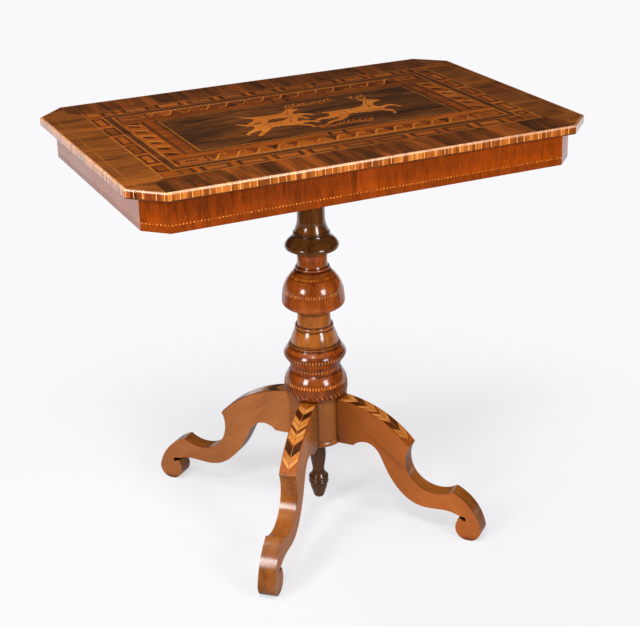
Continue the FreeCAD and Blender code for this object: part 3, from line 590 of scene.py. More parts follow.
def make_materials():
    """All finishes by name."""
    made = {key: wood(name, grain, tones, **rest) for key, (name, grain, tones, rest) in WOODS.items()}
    for side, (tones, painted_light) in LEG_PLANKS.items():
        made["leg_" + side] = wood("leg_walnut_" + side, "leg", tones, painted_light=painted_light, **LEG_POLISH)
    for key, leaves in (("front_border", FRONT_LEAVES), ("back_border", BACK_LEAVES)):
        made[key] = wood(key, "y", LONG_BORDER, depth=1.3, leaves=("X", leaves, LONG_STRENGTH))
    for key, leaves in (("left_border", LEFT_LEAVES), ("right_border", RIGHT_LEAVES)):
        made[key] = wood(key, "x", SHORT_BORDER, depth=1.4, leaves=("Y", leaves, SHORT_STRENGTH))
    for key, axis, tones, strength, arris_highlight in (
            ("edge_long", "X", EDGE, 0.4, EDGE_HIGHLIGHT), ("edge_short", "Y", EDGE, 0.4, EDGE_HIGHLIGHT),
            ("edge_cant", "CANT", CANT, 0.6, CANT_HIGHLIGHT)):
        made[key] = wood(key, "z", tones, leaves=(axis, EDGE_BLOCK, strength), arris_highlight=arris_highlight, **EDGE_POLISH)
    for key, leaves in (("frieze_front", FRIEZE_LEAVES), ("frieze_back", BACK_FRIEZE_LEAF)):
        made[key] = wood(key, "z", FRIEZE, leaves=("X", leaves, FRIEZE_STRENGTH), **FRIEZE_POLISH)
    made["steel"] = make_screw_steel()
    return made


# Screws: size and detail of the turning marks, darker and lighter steel, and how rough the marks are
SCREW_MARKS = (900.0, 3.0)
SCREW_TONES = ((120, 116, 110), (170, 166, 160))
SCREW_ROUGHNESS = (0.3, 0.3)


def make_screw_steel():
    """Dull steel with fine turning marks."""
    material, tree, shader, place = bare_material("screw_steel")
    marks = noise(tree, place, *SCREW_MARKS)
    plug(tree, shader.inputs, {
        "Base Color": mixed(tree, marks, *[tone(*shade) for shade in SCREW_TONES]),
        "Roughness": calc(tree, "MULTIPLY_ADD", marks, *SCREW_ROUGHNESS)})
    shader.inputs["Metallic"].default_value = 1.0
    return material


# Finish of each solid, or of all solids whose names start so
NODE_FINISHES = {
    "top_board": "carcase", "rail_": "carcase", "corner_posts": "carcase", "glue_blocks": "carcase",
    "bearer_": "carcase", "pillar_plate": "carcase", "tenon_wedge": "carcase", "top_screws": "steel",
    "edge_band_front": "edge_long", "edge_band_back": "edge_long", "edge_band_left": "edge_short",
    "edge_band_right": "edge_short", "edge_band_corners": "edge_cant", "crossband_front": "front_border",
    "crossband_back": "back_border", "crossband_left": "left_border", "crossband_right": "right_border",
    "margins": "left_border", "margin_strings": "margin_string", "outer_string": "string",
    "frame_strings": "string", "panel_string": "string", "frieze_string": "frieze_foot",
    "key_bands": "key_ground", "dark_band": "dark", "scroll_bands": "tan", "rope_bands": "dark",
    "corner_squares": "tan", "inner_stripes": "tan", "dark_fillets": "dark", "centre_panel": "panel",
    "frieze_veneer_front": "frieze_front", "frieze_veneer_back": "frieze_back",
    "frieze_veneer_left": "frieze_side", "frieze_veneer_right": "frieze_side",
    "corner_veneers": "frieze_back", "frieze_foot_band": "frieze_foot", "column_base": "turned",
    "base_inlay": "ring", "column_cone": "cone", "column_bulb": "turned", "bulb_inlay": "ring",
    "column_neck": "neck", "hub": "hub", "hub_disc": "hub", "drop_finial": "drop",
    "leg_": "shaded_leg_face", "knee_veneer_": "tan",
}


FINISHES = make_materials()


def dress_nodes():
    """Give every solid its finish."""
    for name, piece in nodes.items():
        matches = [key for key in NODE_FINISHES if name == key or (key[-1] == "_" and name.startswith(key))]
        piece.data.materials.clear()
        piece.data.materials.append(FINISHES[NODE_FINISHES[matches[0]]])


def placed(name, data):
    """New object in the scene."""
    made = bpy.data.objects.new(name, data)
    bpy.context.scene.collection.objects.link(made)
    return made


def facing(place, right, up, back):
    """Matrix that puts a light or camera at a place, with its back away from what it looks at."""
    return Matrix.Translation(place) @ Matrix((right, up, back)).transposed().to_4x4()


def direction(azimuth, elevation):
    """Unit vector towards a viewpoint; azimuth 0 is the front, positive to the right."""
    turn, rise = math.radians(azimuth), math.radians(elevation)
    return Vector((math.sin(turn) * math.cos(rise), -math.cos(turn) * math.cos(rise), math.sin(rise)))


def make_camera():
    """Camera at the photograph's angle."""
    back = direction(CAMERA_AZIMUTH, CAMERA_ELEVATION)
    turn = math.radians(CAMERA_AZIMUTH)
    right = Vector((math.cos(turn), math.sin(turn), 0))
    up = back.cross(right)
    place = right * CAMERA_ASIDE + Vector((0, 0, CAMERA_AIM)) + back * CAMERA_DISTANCE
    roll = math.radians(CAMERA_ROLL)
    rolled_right = right * math.cos(roll) + up * math.sin(roll)
    rolled_up = up * math.cos(roll) - right * math.sin(roll)
    camera = placed("camera", bpy.data.cameras.new("camera"))
    camera.data.lens = CAMERA_LENS
    camera.data.sensor_width = CAMERA_SENSOR
    camera.matrix_world = facing(place, rolled_right, rolled_up, back)
    bpy.context.scene.camera = camera


def make_light(name, place, size, power):
    """Soft box that looks at the middle of the table."""
    data = bpy.data.lights.new(name, "AREA")
    data.shape = "RECTANGLE"
    data.size, data.size_y = size
    data.energy = power
    back = (place - LIGHT_AIM).normalized()
    right = Vector((0, 0, 1)).cross(back).normalized()
    placed(name, data).matrix_world = facing(place, right, back.cross(right), back)


def make_lights():
    """Soft boxes round the table and a soft ceiling."""
    for name, (azimuth, elevation, distance, width, height, power) in SOFT_BOXES.items():
        make_light(name, LIGHT_AIM + direction(azimuth, elevation) * distance, (width, height), power)
    make_light("soft_ceiling", CEILING_PLACE, (CEILING_SIZE, CEILING_SIZE), CEILING_POWER)


def make_world():
    """Pale studio: white low down, dim above, plain white where the camera looks straight at it."""
    world = bpy.data.worlds.new("studio")
    bpy.context.scene.world = world
    tree = cleared(world)
    height = separated(tree, put(tree, "ShaderNodeTexCoord").outputs["Generated"])[2]
    level = calc(tree, "ADD", ramped(tree, height, *STUDIO_LOW), ramped(tree, height, *STUDIO_HIGH))
    room = put(tree, "ShaderNodeBackground", {"Color": calc(tree, "ADD", level, STUDIO_LEAST)})
    plain = put(tree, "ShaderNodeBackground", {"Color": PAPER_WHITE})
    seen = put(tree, "ShaderNodeLightPath").outputs["Is Camera Ray"]
    put(tree, "ShaderNodeOutputWorld", {"Surface": mixed_shaders(tree, seen, room, plain).outputs[0]})


def make_floor():
    """Pale floor that keeps the table's shadow and is clear from below."""
    mesh = bpy.data.meshes.new("floor")
    half = FLOOR_HALF
    corners = [(-half, -half, 0), (half, -half, 0), (half, half, 0), (-half, half, 0)]
    mesh.from_pydata(corners, [], [range(4)])
    floor = placed("floor", mesh)
    material = bpy.data.materials.new("floor_paper")
    tree = cleared(material)
    place = put(tree, "ShaderNodeTexCoord").outputs["Object"]
    near_side = dotted(tree, place, direction(CAMERA_AZIMUTH, 0))
    aside = dotted(tree, place, direction(CAMERA_AZIMUTH + 90, 0))
    far = put(tree, "ShaderNodeVectorMath", {0: place}, operation="LENGTH").outputs["Value"]
    path = put(tree, "ShaderNodeLightPath").outputs

    colour = mixed(tree, noise(tree, place, *PAPER_CLOUD), *PAPER_TONES)
    evened = ramped(tree, near_side, *PAPER_EVEN)
    colour = vector_calc(tree, "MULTIPLY", colour, combined(tree, evened, evened, evened))
    paper = put(tree, "ShaderNodeBsdfDiffuse", {"Color": colour})
    glow = put(tree, "ShaderNodeEmission", {"Color": PAPER_WHITE})
    share = calc(tree, "MULTIPLY", path["Is Camera Ray"], ramped(tree, far, *FLOOR_FADE))
    seen = mixed_shaders(tree, share, paper, glow)

    # What polish reflects of the floor is a painted reflection: a white glow that ends towards the camera and
    # at the sides, with a painted shadow under the table
    level = calc(tree, "MULTIPLY", ramped(tree, near_side, *PAPER_END), ramped(tree, far, *PAPER_SHADE))
    past_side = ramped(tree, calc(tree, "ABSOLUTE", aside), *PAPER_SIDE)
    past_side = calc(tree, "MULTIPLY", past_side, ramped(tree, near_side, *PAPER_BACK))
    level = calc(tree, "MULTIPLY", level, calc(tree, "SUBTRACT", 1.0, past_side))
    mirrored = put(tree, "ShaderNodeEmission", {"Color": PAPER_WHITE, "Strength": level})
    glossy = calc(tree, "MAXIMUM", path["Is Glossy Ray"], path["Is Transmission Ray"])
    lit = mixed_shaders(tree, glossy, seen, mirrored)
    below = put(tree, "ShaderNodeNewGeometry").outputs["Backfacing"]
    one_sided = mixed_shaders(tree, below, lit, put(tree, "ShaderNodeBsdfTransparent"))
    put(tree, "ShaderNodeOutputMaterial", {"Surface": one_sided.outputs[0]})
    mesh.materials.append(material)


# Inlay: thin leaves of wood let into a surface

# How far a leaf stands over its bed and reaches into it, and the finest distance between its corners
PROUD = 0.03 * MM
SUNK = 0.5 * MM
FINEST = 0.001 * MM


def add_prism(mesh, lower, upper):
    """Closed plate between two rings of points."""
    low = [mesh.verts.new(point) for point in lower]
    high = [mesh.verts.new(point) for point in upper]
    mesh.faces.new(high)
    mesh.faces.new(low[::-1])
    count = len(low)
    for place in range(count):
        after = (place + 1) % count
        mesh.faces.new((low[place], low[after], high[after], high[place]))


def add_piece(name, mesh, finish):
    """Turn a built mesh into a piece of the table."""
    bmesh.ops.recalc_face_normals(mesh, faces=mesh.faces)
    data = bpy.data.meshes.new(name)
    mesh.to_mesh(data)
    mesh.free()
    data.materials.append(FINISHES[finish])
    piece = placed(name, data)
    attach(piece, "root")
    return piece


def top_leaves(name, outlines, finish, layer=1):
    """Flat leaves let into the table top; outlines are in millimetres."""
    mesh = bmesh.new()
    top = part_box("centre_panel")[1].z
    for outline in outlines:
        lower = [(x * MM, y * MM, top - SUNK) for x, y in outline]
        upper = [(x * MM, y * MM, top + PROUD * layer) for x, y in outline]
        add_prism(mesh, lower, upper)
    return add_piece(name, mesh, finish)


def rectangle(x, y, width, height):
    """Outline of a rectangle about its middle."""
    corners = ((-1, -1), (1, -1), (1, 1), (-1, 1))
    return [(x + side * width / 2, y + end * height / 2) for side, end in corners]


def smooth(points, steps=5, closed=True):
    """Round a run of points off into a flowing line."""
    count = len(points)
    line = []
    for place in range(count if closed else count - 1):
        around = []
        for shift in (-1, 0, 1, 2):
            index = place + shift
            index = index % count if closed else min(max(index, 0), count - 1)
            around.append(Vector(points[index]))
        before, start, end, after = around
        for step in range(steps):
            t = step / steps
            line.append(tuple(0.5 * (
                2 * start + (end - before) * t + (2 * before - 5 * start + 4 * end - after) * t ** 2
                + (3 * start - before - 3 * end + after) * t ** 3)))
    if not closed:
        line.append(tuple(points[-1]))
    return line


def ribbon(points, start_width, end_width=None, steps=5):
    """Outline of a flowing line that tapers from one width to another."""
    line = [Vector(point) for point in smooth(points, steps, closed=False)]
    end_width = start_width if end_width is None else end_width
    left, right = [], []
    for place, point in enumerate(line):
        ahead = line[min(place + 1, len(line) - 1)] - line[max(place - 1, 0)]
        side = Vector((-ahead.y, ahead.x)).normalized()
        half = (start_width + (end_width - start_width) * place / (len(line) - 1)) / 2
        left.append(tuple(point + side * half))
        right.append(tuple(point - side * half))
    return left + right[::-1]


def turned_half(outline):
    """Outline turned half way round the middle of the top."""
    return [(-x, -y) for x, y in outline]


def moved(outline, x, y):
    """Outline moved along and across the top."""
    return [(px + x, py + y) for px, py in outline]


# Key band: half sizes of its outer and inner edges, then its blocks
KEY_OUT = (324.0, 200.0)
KEY_IN = (301.0, 172.0)
KEY_UNIT = 59.0
KEY_FRAME = 46.0
KEY_END_BAR = 5.0
KEY_SIDE_BAR = 3.6
KEY_MARGIN = 2.0
KEY_GAP = 1.4
KEY_LINE = 1.5
KEY_LINE_GAP = 7.0
KEY_BLOCKS_LONG = 4
KEY_CROSS_LONG = 5.5
KEY_CROSS_SHORT = 11.0
# Towards each corner: places of the bars, then place, length and width of the blocks
KEY_CORNER_BARS = (274.5, 293.5)
KEY_CORNER_BLOCKS = ((284, 11, 15), (309, 20, 18))
# Along the short bands: where each crosspiece and each block is, and how long the block's frame is
KEY_SHORT = {
    -1: ((-130, -71, -12, 47, 106, 164.5),
         ((-154.5, 32), (-100.5, 46), (-41.5, 46), (17.5, 46), (76.5, 46), (135.5, 46))),
    1: ((-143, -84, -25, 34, 93, 152),
        ((-160.5, 20), (-113.5, 46), (-54.5, 46), (4.5, 46), (63.5, 46), (122.5, 46), (165.5, 11))),
}


def make_key_bands():
    """Blocks in dark frames with a crosspiece between each two."""
    middle_y = (KEY_OUT[1] + KEY_IN[1]) / 2
    middle_x = (KEY_OUT[0] + KEY_IN[0]) / 2
    width_long = KEY_OUT[1] - KEY_IN[1] - 2 * KEY_MARGIN
    width_short = KEY_OUT[0] - KEY_IN[0] - 2 * KEY_MARGIN
    bars, blocks, crosses, lines = [], [], [], []

    def framed(across, along, width, upright, length=KEY_FRAME):
        def put_in(long, thick, u, v, group):
            if upright:
                group.append(rectangle(across + v, along + u, thick, long))
            else:
                group.append(rectangle(along + u, across + v, long, thick))
        end = length / 2 - KEY_END_BAR / 2
        side = width / 2 - KEY_SIDE_BAR / 2
        inner = length - 2 * KEY_END_BAR
        for sign in (-1, 1):
            put_in(KEY_END_BAR, width, sign * end, 0, bars)
            if inner > KEY_END_BAR:
                put_in(inner, KEY_SIDE_BAR, 0, sign * side, bars)
        if inner > KEY_END_BAR:
            put_in(inner - KEY_GAP, width - 2 * KEY_SIDE_BAR - KEY_GAP, 0, 0, blocks)
        if not upright:
            put_in(inner - KEY_LINE_GAP, KEY_LINE, 0, 0, lines)

    for sign in (-1, 1):
        for step in range(-KEY_BLOCKS_LONG, KEY_BLOCKS_LONG + 1):
            framed(sign * middle_y, step * KEY_UNIT, width_long, False)
        for step in range(-KEY_BLOCKS_LONG - 1, KEY_BLOCKS_LONG + 1):
            crosses.append(
                rectangle((step + 0.5) * KEY_UNIT, sign * middle_y, KEY_CROSS_LONG, width_long + KEY_MARGIN))
        for corner in (-1, 1):
            for place in KEY_CORNER_BARS:
                bars.append(rectangle(corner * place, sign * middle_y, KEY_END_BAR, width_long))
            for place, length, width in KEY_CORNER_BLOCKS:
                blocks.append(rectangle(corner * place, sign * middle_y, length, width))
        places, frames = KEY_SHORT[sign]
        for place in places:
            crosses.append(rectangle(sign * middle_x, place, width_short + KEY_MARGIN, KEY_CROSS_SHORT))
        for place, length in frames:
            framed(sign * middle_x, place, width_short, True, length)
    top_leaves("key_frames", bars, "dark_leaf")
    top_leaves("key_blocks", blocks, "key_leaf")
    top_leaves("key_crosspieces", crosses, "tan_leaf")
    top_leaves("key_lines", lines, "string", layer=2)


# Scroll bands on the long sides: from the outer to the inner edge, and the step of the scrolls
SCROLL_OUT = 157.0
SCROLL_IN = 122.0
SCROLL_HALF = 228.0
SCROLL_STEP = 33.7
SCROLL_FIRST = -219.0
SCROLL_COUNT = 14
SCROLL_LINE = ((-9, 4), (-4, 5), (1, 11), (5, 19), (10, 27), (16, 30), (21, 27), (19, 24))
SCROLL_WIDTHS = (3.0, 1.6)
SCROLL_WEDGE = ((-15, 30), (6, 31), (3, 22), (-2, 12), (-6, 10), (-6, 18), (-10, 25))
# How far scrolls and wedges keep from the ends, and place and width of the pale edge and its shade
SCROLL_CLEAR = 3
WEDGE_CLEAR = 1
SCROLL_EDGE = (4.2, 3.2)
SCROLL_SHADE = (1.2, 2.0)


def make_scroll_bands():
    """Running scrolls with dark wedges and a pale line along the outer edge."""
    lines, wedges, dark_wedges, edges = [], [], [], []
    wedge_end = SCROLL_HALF - WEDGE_CLEAR
    for at_back in (False, True):
        def laid(outline):
            return turned_half(outline) if at_back else outline

        for step in range(SCROLL_COUNT):
            x = SCROLL_FIRST + step * SCROLL_STEP
            points = [(px, py) for px, py in SCROLL_LINE if abs(x + px) < SCROLL_HALF - SCROLL_CLEAR]
            lines.append(laid(moved(ribbon(points, *SCROLL_WIDTHS), x, -SCROLL_OUT)))
            wedge = moved(smooth(SCROLL_WEDGE), x, -SCROLL_OUT)
            wedge = [(min(max(px, -wedge_end), wedge_end), py) for px, py in wedge]
            (wedges if step % 3 else dark_wedges).append(laid(wedge))
        for (place, width), group in ((SCROLL_EDGE, edges), (SCROLL_SHADE, dark_wedges)):
            group.append(laid(rectangle(0, -SCROLL_OUT + place, 2 * wedge_end, width)))
    top_leaves("scroll_wedges", wedges, "brown_leaf")
    top_leaves("scroll_shades", dark_wedges, "dark_leaf")
    top_leaves("scroll_lines", lines, "light_leaf", layer=2)
    top_leaves("scroll_edges", edges, "light_leaf")


# Rope bands on the short sides
ROPE_OUT = 286.0
ROPE_IN = 256.0
ROPE_HALF = 105.0
ROPE_COUNT = 6
ROPE_DROP = 11.5
ROPE_MARGIN = 3.0
# Height of a bar, gap under it, gap over the first bar and clear ends; then the shade of a cell, from its bar
ROPE_BAR = 6
ROPE_GAP = 1
ROPE_FIRST = 3
ROPE_CLEAR = 1
ROPE_SHADE = ((3, -11), (12, -15), (19, -21), (17, -28), (8, -25), (3, -19))
# How far the orange edges stand from the bars, and their width
ROPE_EDGE = (1.5, 2.4)


def make_rope_bands():
    """Slanting pale bars with a shaded cell under each."""
    bars, cells, shades, edges = [], [], [], []
    step = 2 * ROPE_HALF / ROPE_COUNT
    drop = ROPE_DROP
    end = ROPE_CLEAR - ROPE_HALF
    left, right = ROPE_IN + ROPE_MARGIN, ROPE_OUT - ROPE_MARGIN
    for x_left, x_right in ((-right, -left), (left, right)):
        for place in range(ROPE_COUNT):
            y = ROPE_HALF - ROPE_FIRST - place * step
            under = y - ROPE_BAR
            bars.append([(x_left, under), (x_right, under - drop), (x_right, y - drop), (x_left, y)])
            low = max(y - step + ROPE_GAP, end)
            cells.append([
                (x_left, low), (x_right, max(low - drop, end)),
                (x_right, under - ROPE_GAP - drop), (x_left, under - ROPE_GAP)])
            shades.append(smooth(moved(ROPE_SHADE, x_left, y)))
        away, width = ROPE_EDGE
        for edge in (x_left - away, x_right + away):
            edges.append(rectangle(edge, 0, width, -2 * end))
    top_leaves("rope_cells", cells, "tan_leaf")
    top_leaves("rope_shades", shades, "dark_leaf", layer=2)
    top_leaves("rope_bars", bars, "light_leaf", layer=2)
    top_leaves("rope_edges", edges, "tan_leaf")


# Corner squares: place, length and width of the bars of their rings, then the bar and the heart inside
CORNER_SIDE = (24, 3, 28)
CORNER_END = (12.8, 45, 2.6)
CORNER_BAR = (20, 5)
CORNER_HEART = (38, 17)
# Inner stripes: places and size of the fine lines in the short ones and of the breaks in the long ones
STRIPE_LINES = (236.0, 239.6, 244.4, 248.0)
STRIPE_LINE = (1.7, 208)
STRIPE_BREAKS = (-13.0, 13.0)
STRIPE_BREAK = (6.5, 16)
STRIPE_MIDDLE = 113.5


def make_inner_details():
    """Corner squares, breaks in the long stripes and fine lines in the short ones."""
    rings, hearts, breaks, lines = [], [], [], []
    middle_x, middle_y = (SCROLL_HALF + ROPE_OUT) / 2, (SCROLL_IN + SCROLL_OUT) / 2
    side, *side_size = CORNER_SIDE
    end, *end_size = CORNER_END
    for sign_x in (-1, 1):
        for sign_y in (-1, 1):
            x, y = sign_x * middle_x, sign_y * middle_y
            for edge in (-1, 1):
                rings.append(rectangle(x + edge * side, y, *side_size))
                rings.append(rectangle(x, y + edge * end, *end_size))
            rings.append(rectangle(x, y, *CORNER_BAR))
            hearts.append(rectangle(x, y, *CORNER_HEART))
        for line in STRIPE_LINES:
            lines.append(rectangle(sign_x * line, 0, *STRIPE_LINE))
        for break_x in STRIPE_BREAKS:
            breaks.append(rectangle(break_x, sign_x * STRIPE_MIDDLE, *STRIPE_BREAK))
    top_leaves("corner_hearts", hearts, "key_leaf")
    top_leaves("corner_rings", rings, "dark_leaf", layer=2)
    top_leaves("stripe_breaks", breaks, "dark_leaf")
    top_leaves("stripe_lines", lines, "brown_leaf")


# Hunting picture of the centre panel: outlines in millimetres about each animal's middle
STAG = (
    (70, 38), (68, 33), (58, 31), (50, 25), (45, 14), (49, 4), (58, 6), (73, 9), (80, 1), (87, -9),
    (83, -12), (75, -3), (68, 1), (55, -6), (51, -12), (62, -21), (60, -33), (56, -41), (50, -40),
    (54, -30), (48, -23), (38, -17), (20, -15), (0, -12), (-14, -11), (-24, -16), (-32, -26), (-50, -36),
    (-66, -38), (-79, -45), (-82, -39), (-68, -31), (-53, -26), (-46, -18), (-62, -20), (-78, -18),
    (-91, -24), (-94, -18), (-80, -10), (-63, -8), (-53, 1), (-54, 8), (-61, 16), (-54, 18), (-44, 16),
    (-24, 17), (0, 15), (22, 20), (32, 31), (39, 44), (35, 52), (33, 57), (40, 55), (47, 53), (53, 51),
    (61, 46))
HOUND = (
    (60, 22), (58, 17), (48, 14), (42, 8), (39, 1), (48, 2), (62, -4), (72, -12), (69, -16), (58, -10),
    (46, -8), (41, -11), (48, -18), (52, -28), (47, -30), (42, -22), (32, -15), (14, -10), (-8, -7),
    (-20, -10), (-30, -18), (-44, -28), (-56, -35), (-60, -31), (-50, -22), (-41, -14), (-52, -15),
    (-66, -20), (-73, -26), (-76, -21), (-66, -12), (-52, -4), (-45, 5), (-56, 13), (-68, 22), (-66, 25),
    (-52, 18), (-38, 14), (-20, 13), (0, 11), (20, 14), (31, 21), (39, 28), (47, 28), (54, 25))
ANTLERS = (
    ((46, 52), (38, 61), (28, 68), (25, 79)), ((39, 60), (44, 68), (45, 77)), ((30, 67), (35, 74), (34, 82)),
    ((50, 52), (53, 62), (50, 72), (53, 82)), ((53, 61), (60, 67), (64, 74)), ((51, 71), (58, 76), (61, 82)))
STAG_LINES = (
    ((36, 18), (30, 4), (36, -14)), ((-30, 14), (-20, 4), (-24, -14)), ((46, 42), (38, 30), (36, 18)),
    ((-42, 6), (-34, -8), (-46, -18)), ((4, 4), (14, -2), (24, 0)), ((57, 42), (59, 41), (61, 42)),
    ((-10, 10), (0, 6), (10, 8)))
HOUND_LINES = (
    ((30, 12), (25, 0), (31, -12)), ((-26, 11), (-17, 2), (-21, -8)), ((42, 24), (34, 18), (36, 10)),
    ((-8, 4), (2, 1), (10, 3)), ((50, 22), (52, 21), (53, 22)))
# Leaf sprays: stems, length and turn of their leaves, gap between leaf and stem, and a leaf of length 1
SPRAYS = (((-14, 66), (14, 74), (46, 69), (80, 78)), ((-16, -64), (16, -72), (50, -66), (84, -72)))
SPRAY_LEAF = 14.0
SPRAY_TURN = 0.75
SPRAY_GAP = 1.6
LEAF_SHAPE = ((0, 0), (0.25, 0.17), (0.55, 0.2), (1, 0), (0.6, -0.13), (0.25, -0.12))
# Widths of the engraved lines, outlines, antlers and stems from their start to their end
ENGRAVED_WIDTHS = (1.5, 0.8)
OUTLINE_WIDTH = 0.8
ANTLER_WIDTHS = (3.2, 1.2)
STEM_WIDTHS = (1.6, 0.8)
# Middle of each animal, then its size along and across the panel
STAG_PLACE = (84.0, -10.0, 0.92, 1.12)
HOUND_PLACES = ((-48.0, 22.0, 0.86, 1.3), (-62.0, -22.0, 0.92, 1.4))


def leaf_outline(x, y, angle, length):
    """Pointed leaf that starts at a place."""
    along = Vector((math.cos(angle), math.sin(angle)))
    side = Vector((-along.y, along.x))
    return [tuple(Vector((x, y)) + (along * u + side * v) * length) for u, v in LEAF_SHAPE]


def make_hunt():
    """Stag and two hounds between leaf sprays, in light wood on the dark panel."""
    def at(points, place):
        x_middle, y_middle, size, height = place
        return [(x_middle + x * size, y_middle + y * height) for x, y in points]

    figures = [("stag", STAG, STAG_LINES, STAG_PLACE, 1)]
    for layer, place in enumerate(HOUND_PLACES, 1):
        figures.append(("hound_%d" % layer, HOUND, HOUND_LINES, place, layer))
    for name, outline, engraved, place, layer in figures:
        body = at(smooth(outline, 3), place)
        top_leaves("hunt_" + name, [body], "picture_leaf", layer=2 * layer)
        lines = [ribbon(at(line, place), *ENGRAVED_WIDTHS) for line in engraved]
        lines.append(ribbon(body + body[:1], OUTLINE_WIDTH, steps=1))
        top_leaves("hunt_engraving_" + name, lines, "dark_leaf", layer=2 * layer + 1)
    antlers = [ribbon(at(line, STAG_PLACE), *ANTLER_WIDTHS) for line in ANTLERS]
    leaves = []
    for spray in SPRAYS:
        stem = smooth(spray, 4, closed=False)
        antlers.append(ribbon(spray, *STEM_WIDTHS))
        for before, point, after in zip(stem, stem[1:], stem[2:]):
            ahead = Vector(after) - Vector(before)
            turn = math.atan2(ahead.y, ahead.x)
            for side in (-1, 1):
                away = Vector((-math.sin(turn), math.cos(turn))) * (side * SPRAY_GAP)
                leaves.append(leaf_outline(*(Vector(point) + away), turn + side * SPRAY_TURN, SPRAY_LEAF))
    top_leaves("hunt_sprays", leaves, "tan_leaf")
    top_leaves("hunt_antlers_and_stems", antlers, "light_leaf")


def add_sheet(mesh, rows, proud=PROUD, sunk=SUNK):
    """Closed plate that follows a bent surface; rows hold places with their outward directions."""
    upper = [[mesh.verts.new(place + out * proud) for place, out in row] for row in rows]
    lower = [[mesh.verts.new(place - out * sunk) for place, out in row] for row in rows]
    last, end = len(rows) - 1, len(rows[0]) - 1
    for i in range(last):
        for j in range(end):
            mesh.faces.new((upper[i][j], upper[i][j + 1], upper[i + 1][j + 1], upper[i + 1][j]))
            mesh.faces.new((lower[i][j], lower[i + 1][j], lower[i + 1][j + 1], lower[i][j + 1]))
    rim = [(0, j) for j in range(end)] + [(i, end) for i in range(last)]
    rim += [(last, j) for j in range(end, 0, -1)] + [(i, 0) for i in range(last, 0, -1)]
    for place, (i, j) in enumerate(rim):
        k, m = rim[(place + 1) % len(rim)]
        mesh.faces.new((lower[i][j], lower[k][m], upper[k][m], upper[i][j]))


# Dotted string of the frieze: faces by their ends, and its dots
FRIEZE_CORNERS = ((-334.5, -248), (334.5, -248), (369, -213.5), (369, 213.5), (334.5, 248), (-334.5, 248),
                  (-369, 213.5), (-369, -213.5))
FRIEZE_DOT_Z = 682.75
FRIEZE_DOT = (2.7, 2.1)
FRIEZE_DOT_STEP = 5.6


def make_frieze_dots():
    """Small light blocks along the string of the frieze."""
    mesh = bmesh.new()
    for place, start in enumerate(FRIEZE_CORNERS):
        start = Vector((*start, 0))
        span = Vector((*FRIEZE_CORNERS[(place + 1) % len(FRIEZE_CORNERS)], 0)) - start
        along = span.normalized()
        out = Vector((along.y, -along.x, 0))
        count = int(span.length / FRIEZE_DOT_STEP)
        for dot in range(count):
            middle = start + span * ((dot + 0.5) / count) + Vector((0, 0, FRIEZE_DOT_Z))
            rows = []
            for up in (-0.5, 0.5):
                level = middle + Vector((0, 0, up * FRIEZE_DOT[1]))
                rows.append([((level + along * (side * FRIEZE_DOT[0])) * MM, out) for side in (-0.5, 0.5)])
            add_sheet(mesh, rows)
    add_piece("frieze_dots", mesh, "dot")


# Inlay on the turned pillar. Each row: name, finish, slot, levels, count, width and lean
# of its leaves as shares of their step, and turn of the row
PILLAR_ROWS = (
    ("bulb_dashes", "dash", "light_string", 432.6, 438.6, 70, 0.55, 0.0, 0.0),
    ("bulb_fine_dashes", "dash", "light_string", 460.4, 464.0, 64, 0.5, 0.0, 0.0),
    ("torus_darks", "dark_leaf", "dark_walnut", 309.8, 318.8, 62, 0.35, 0.0, 0.0),
    ("torus_lights", "light_leaf", "light_string", 310.4, 316.4, 62, 0.42, 0.0, 0.5),
    ("collar_dashes", "light_leaf", "light_string", 288.4, 293.0, 54, 0.4, 0.0, 0.0),
    ("base_dashes", "dash", "light_string", 262.2, 267.8, 66, 0.5, 0.0, 0.0),
    ("base_darks", "dark_leaf", "dark_walnut", 242.8, 250.2, 40, 0.3, 0.6, 0.0),
    ("base_lights", "dash", "light_string", 243.2, 249.8, 40, 0.22, -0.6, 0.5),
)
PILLAR_NODES = ("bulb_inlay", "base_inlay", "column_bulb", "column_base")
PILLAR_REACH = 0.12
PILLAR_PROUD = 0.1 * MM
PILLAR_LEVEL_SHARES = (0.0, 0.33, 0.67, 1.0)


def make_pillar_inlay():
    """Rows of small leaves round the bulb and the base."""
    trees = []
    for name in PILLAR_NODES:
        mesh = bmesh.new()
        mesh.from_mesh(nodes[name].data)
        trees.append(BVHTree.FromBMesh(mesh))
        mesh.free()

    def surface(angle, level):
        out = Vector((math.cos(angle), math.sin(angle), 0))
        start = out * PILLAR_REACH + Vector((0, 0, level * MM))
        hits = [tree.ray_cast(start, -out) for tree in trees]
        nearest = min((hit for hit in hits if hit[0] is not None), key=lambda hit: hit[3])
        return nearest[0], nearest[1]

    for name, finish, slot, low, high, count, width, lean, turn in PILLAR_ROWS:
        mesh = bmesh.new()
        step = 2 * math.pi / count
        levels = [low + (high - low) * share for share in PILLAR_LEVEL_SHARES]
        last = len(levels) - 1
        for leaf in range(count):
            rows = []
            for place, level in enumerate(levels):
                middle = (leaf + turn + lean * (place / last - 0.5)) * step
                rows.append([surface(middle + side * width * step, level) for side in (-0.5, 0.5)])
            add_sheet(mesh, rows, proud=PILLAR_PROUD)
        add_piece(name, mesh, finish)


# Knees of the front and back legs: middle and radius of the knee's circle in the leg's own plane, the angle
# at which the veneer starts and its length; then half width of the veneer and slope of its leaves
FRONT_KNEE = ((26.93, 34.71), 200.9, 0.1015, 151.2)
BACK_KNEE = ((26.45, 12.44), 223.1, 0.0935, 159.3)
KNEE_HALF = 13.4
KNEE_SLOPE = 1.15
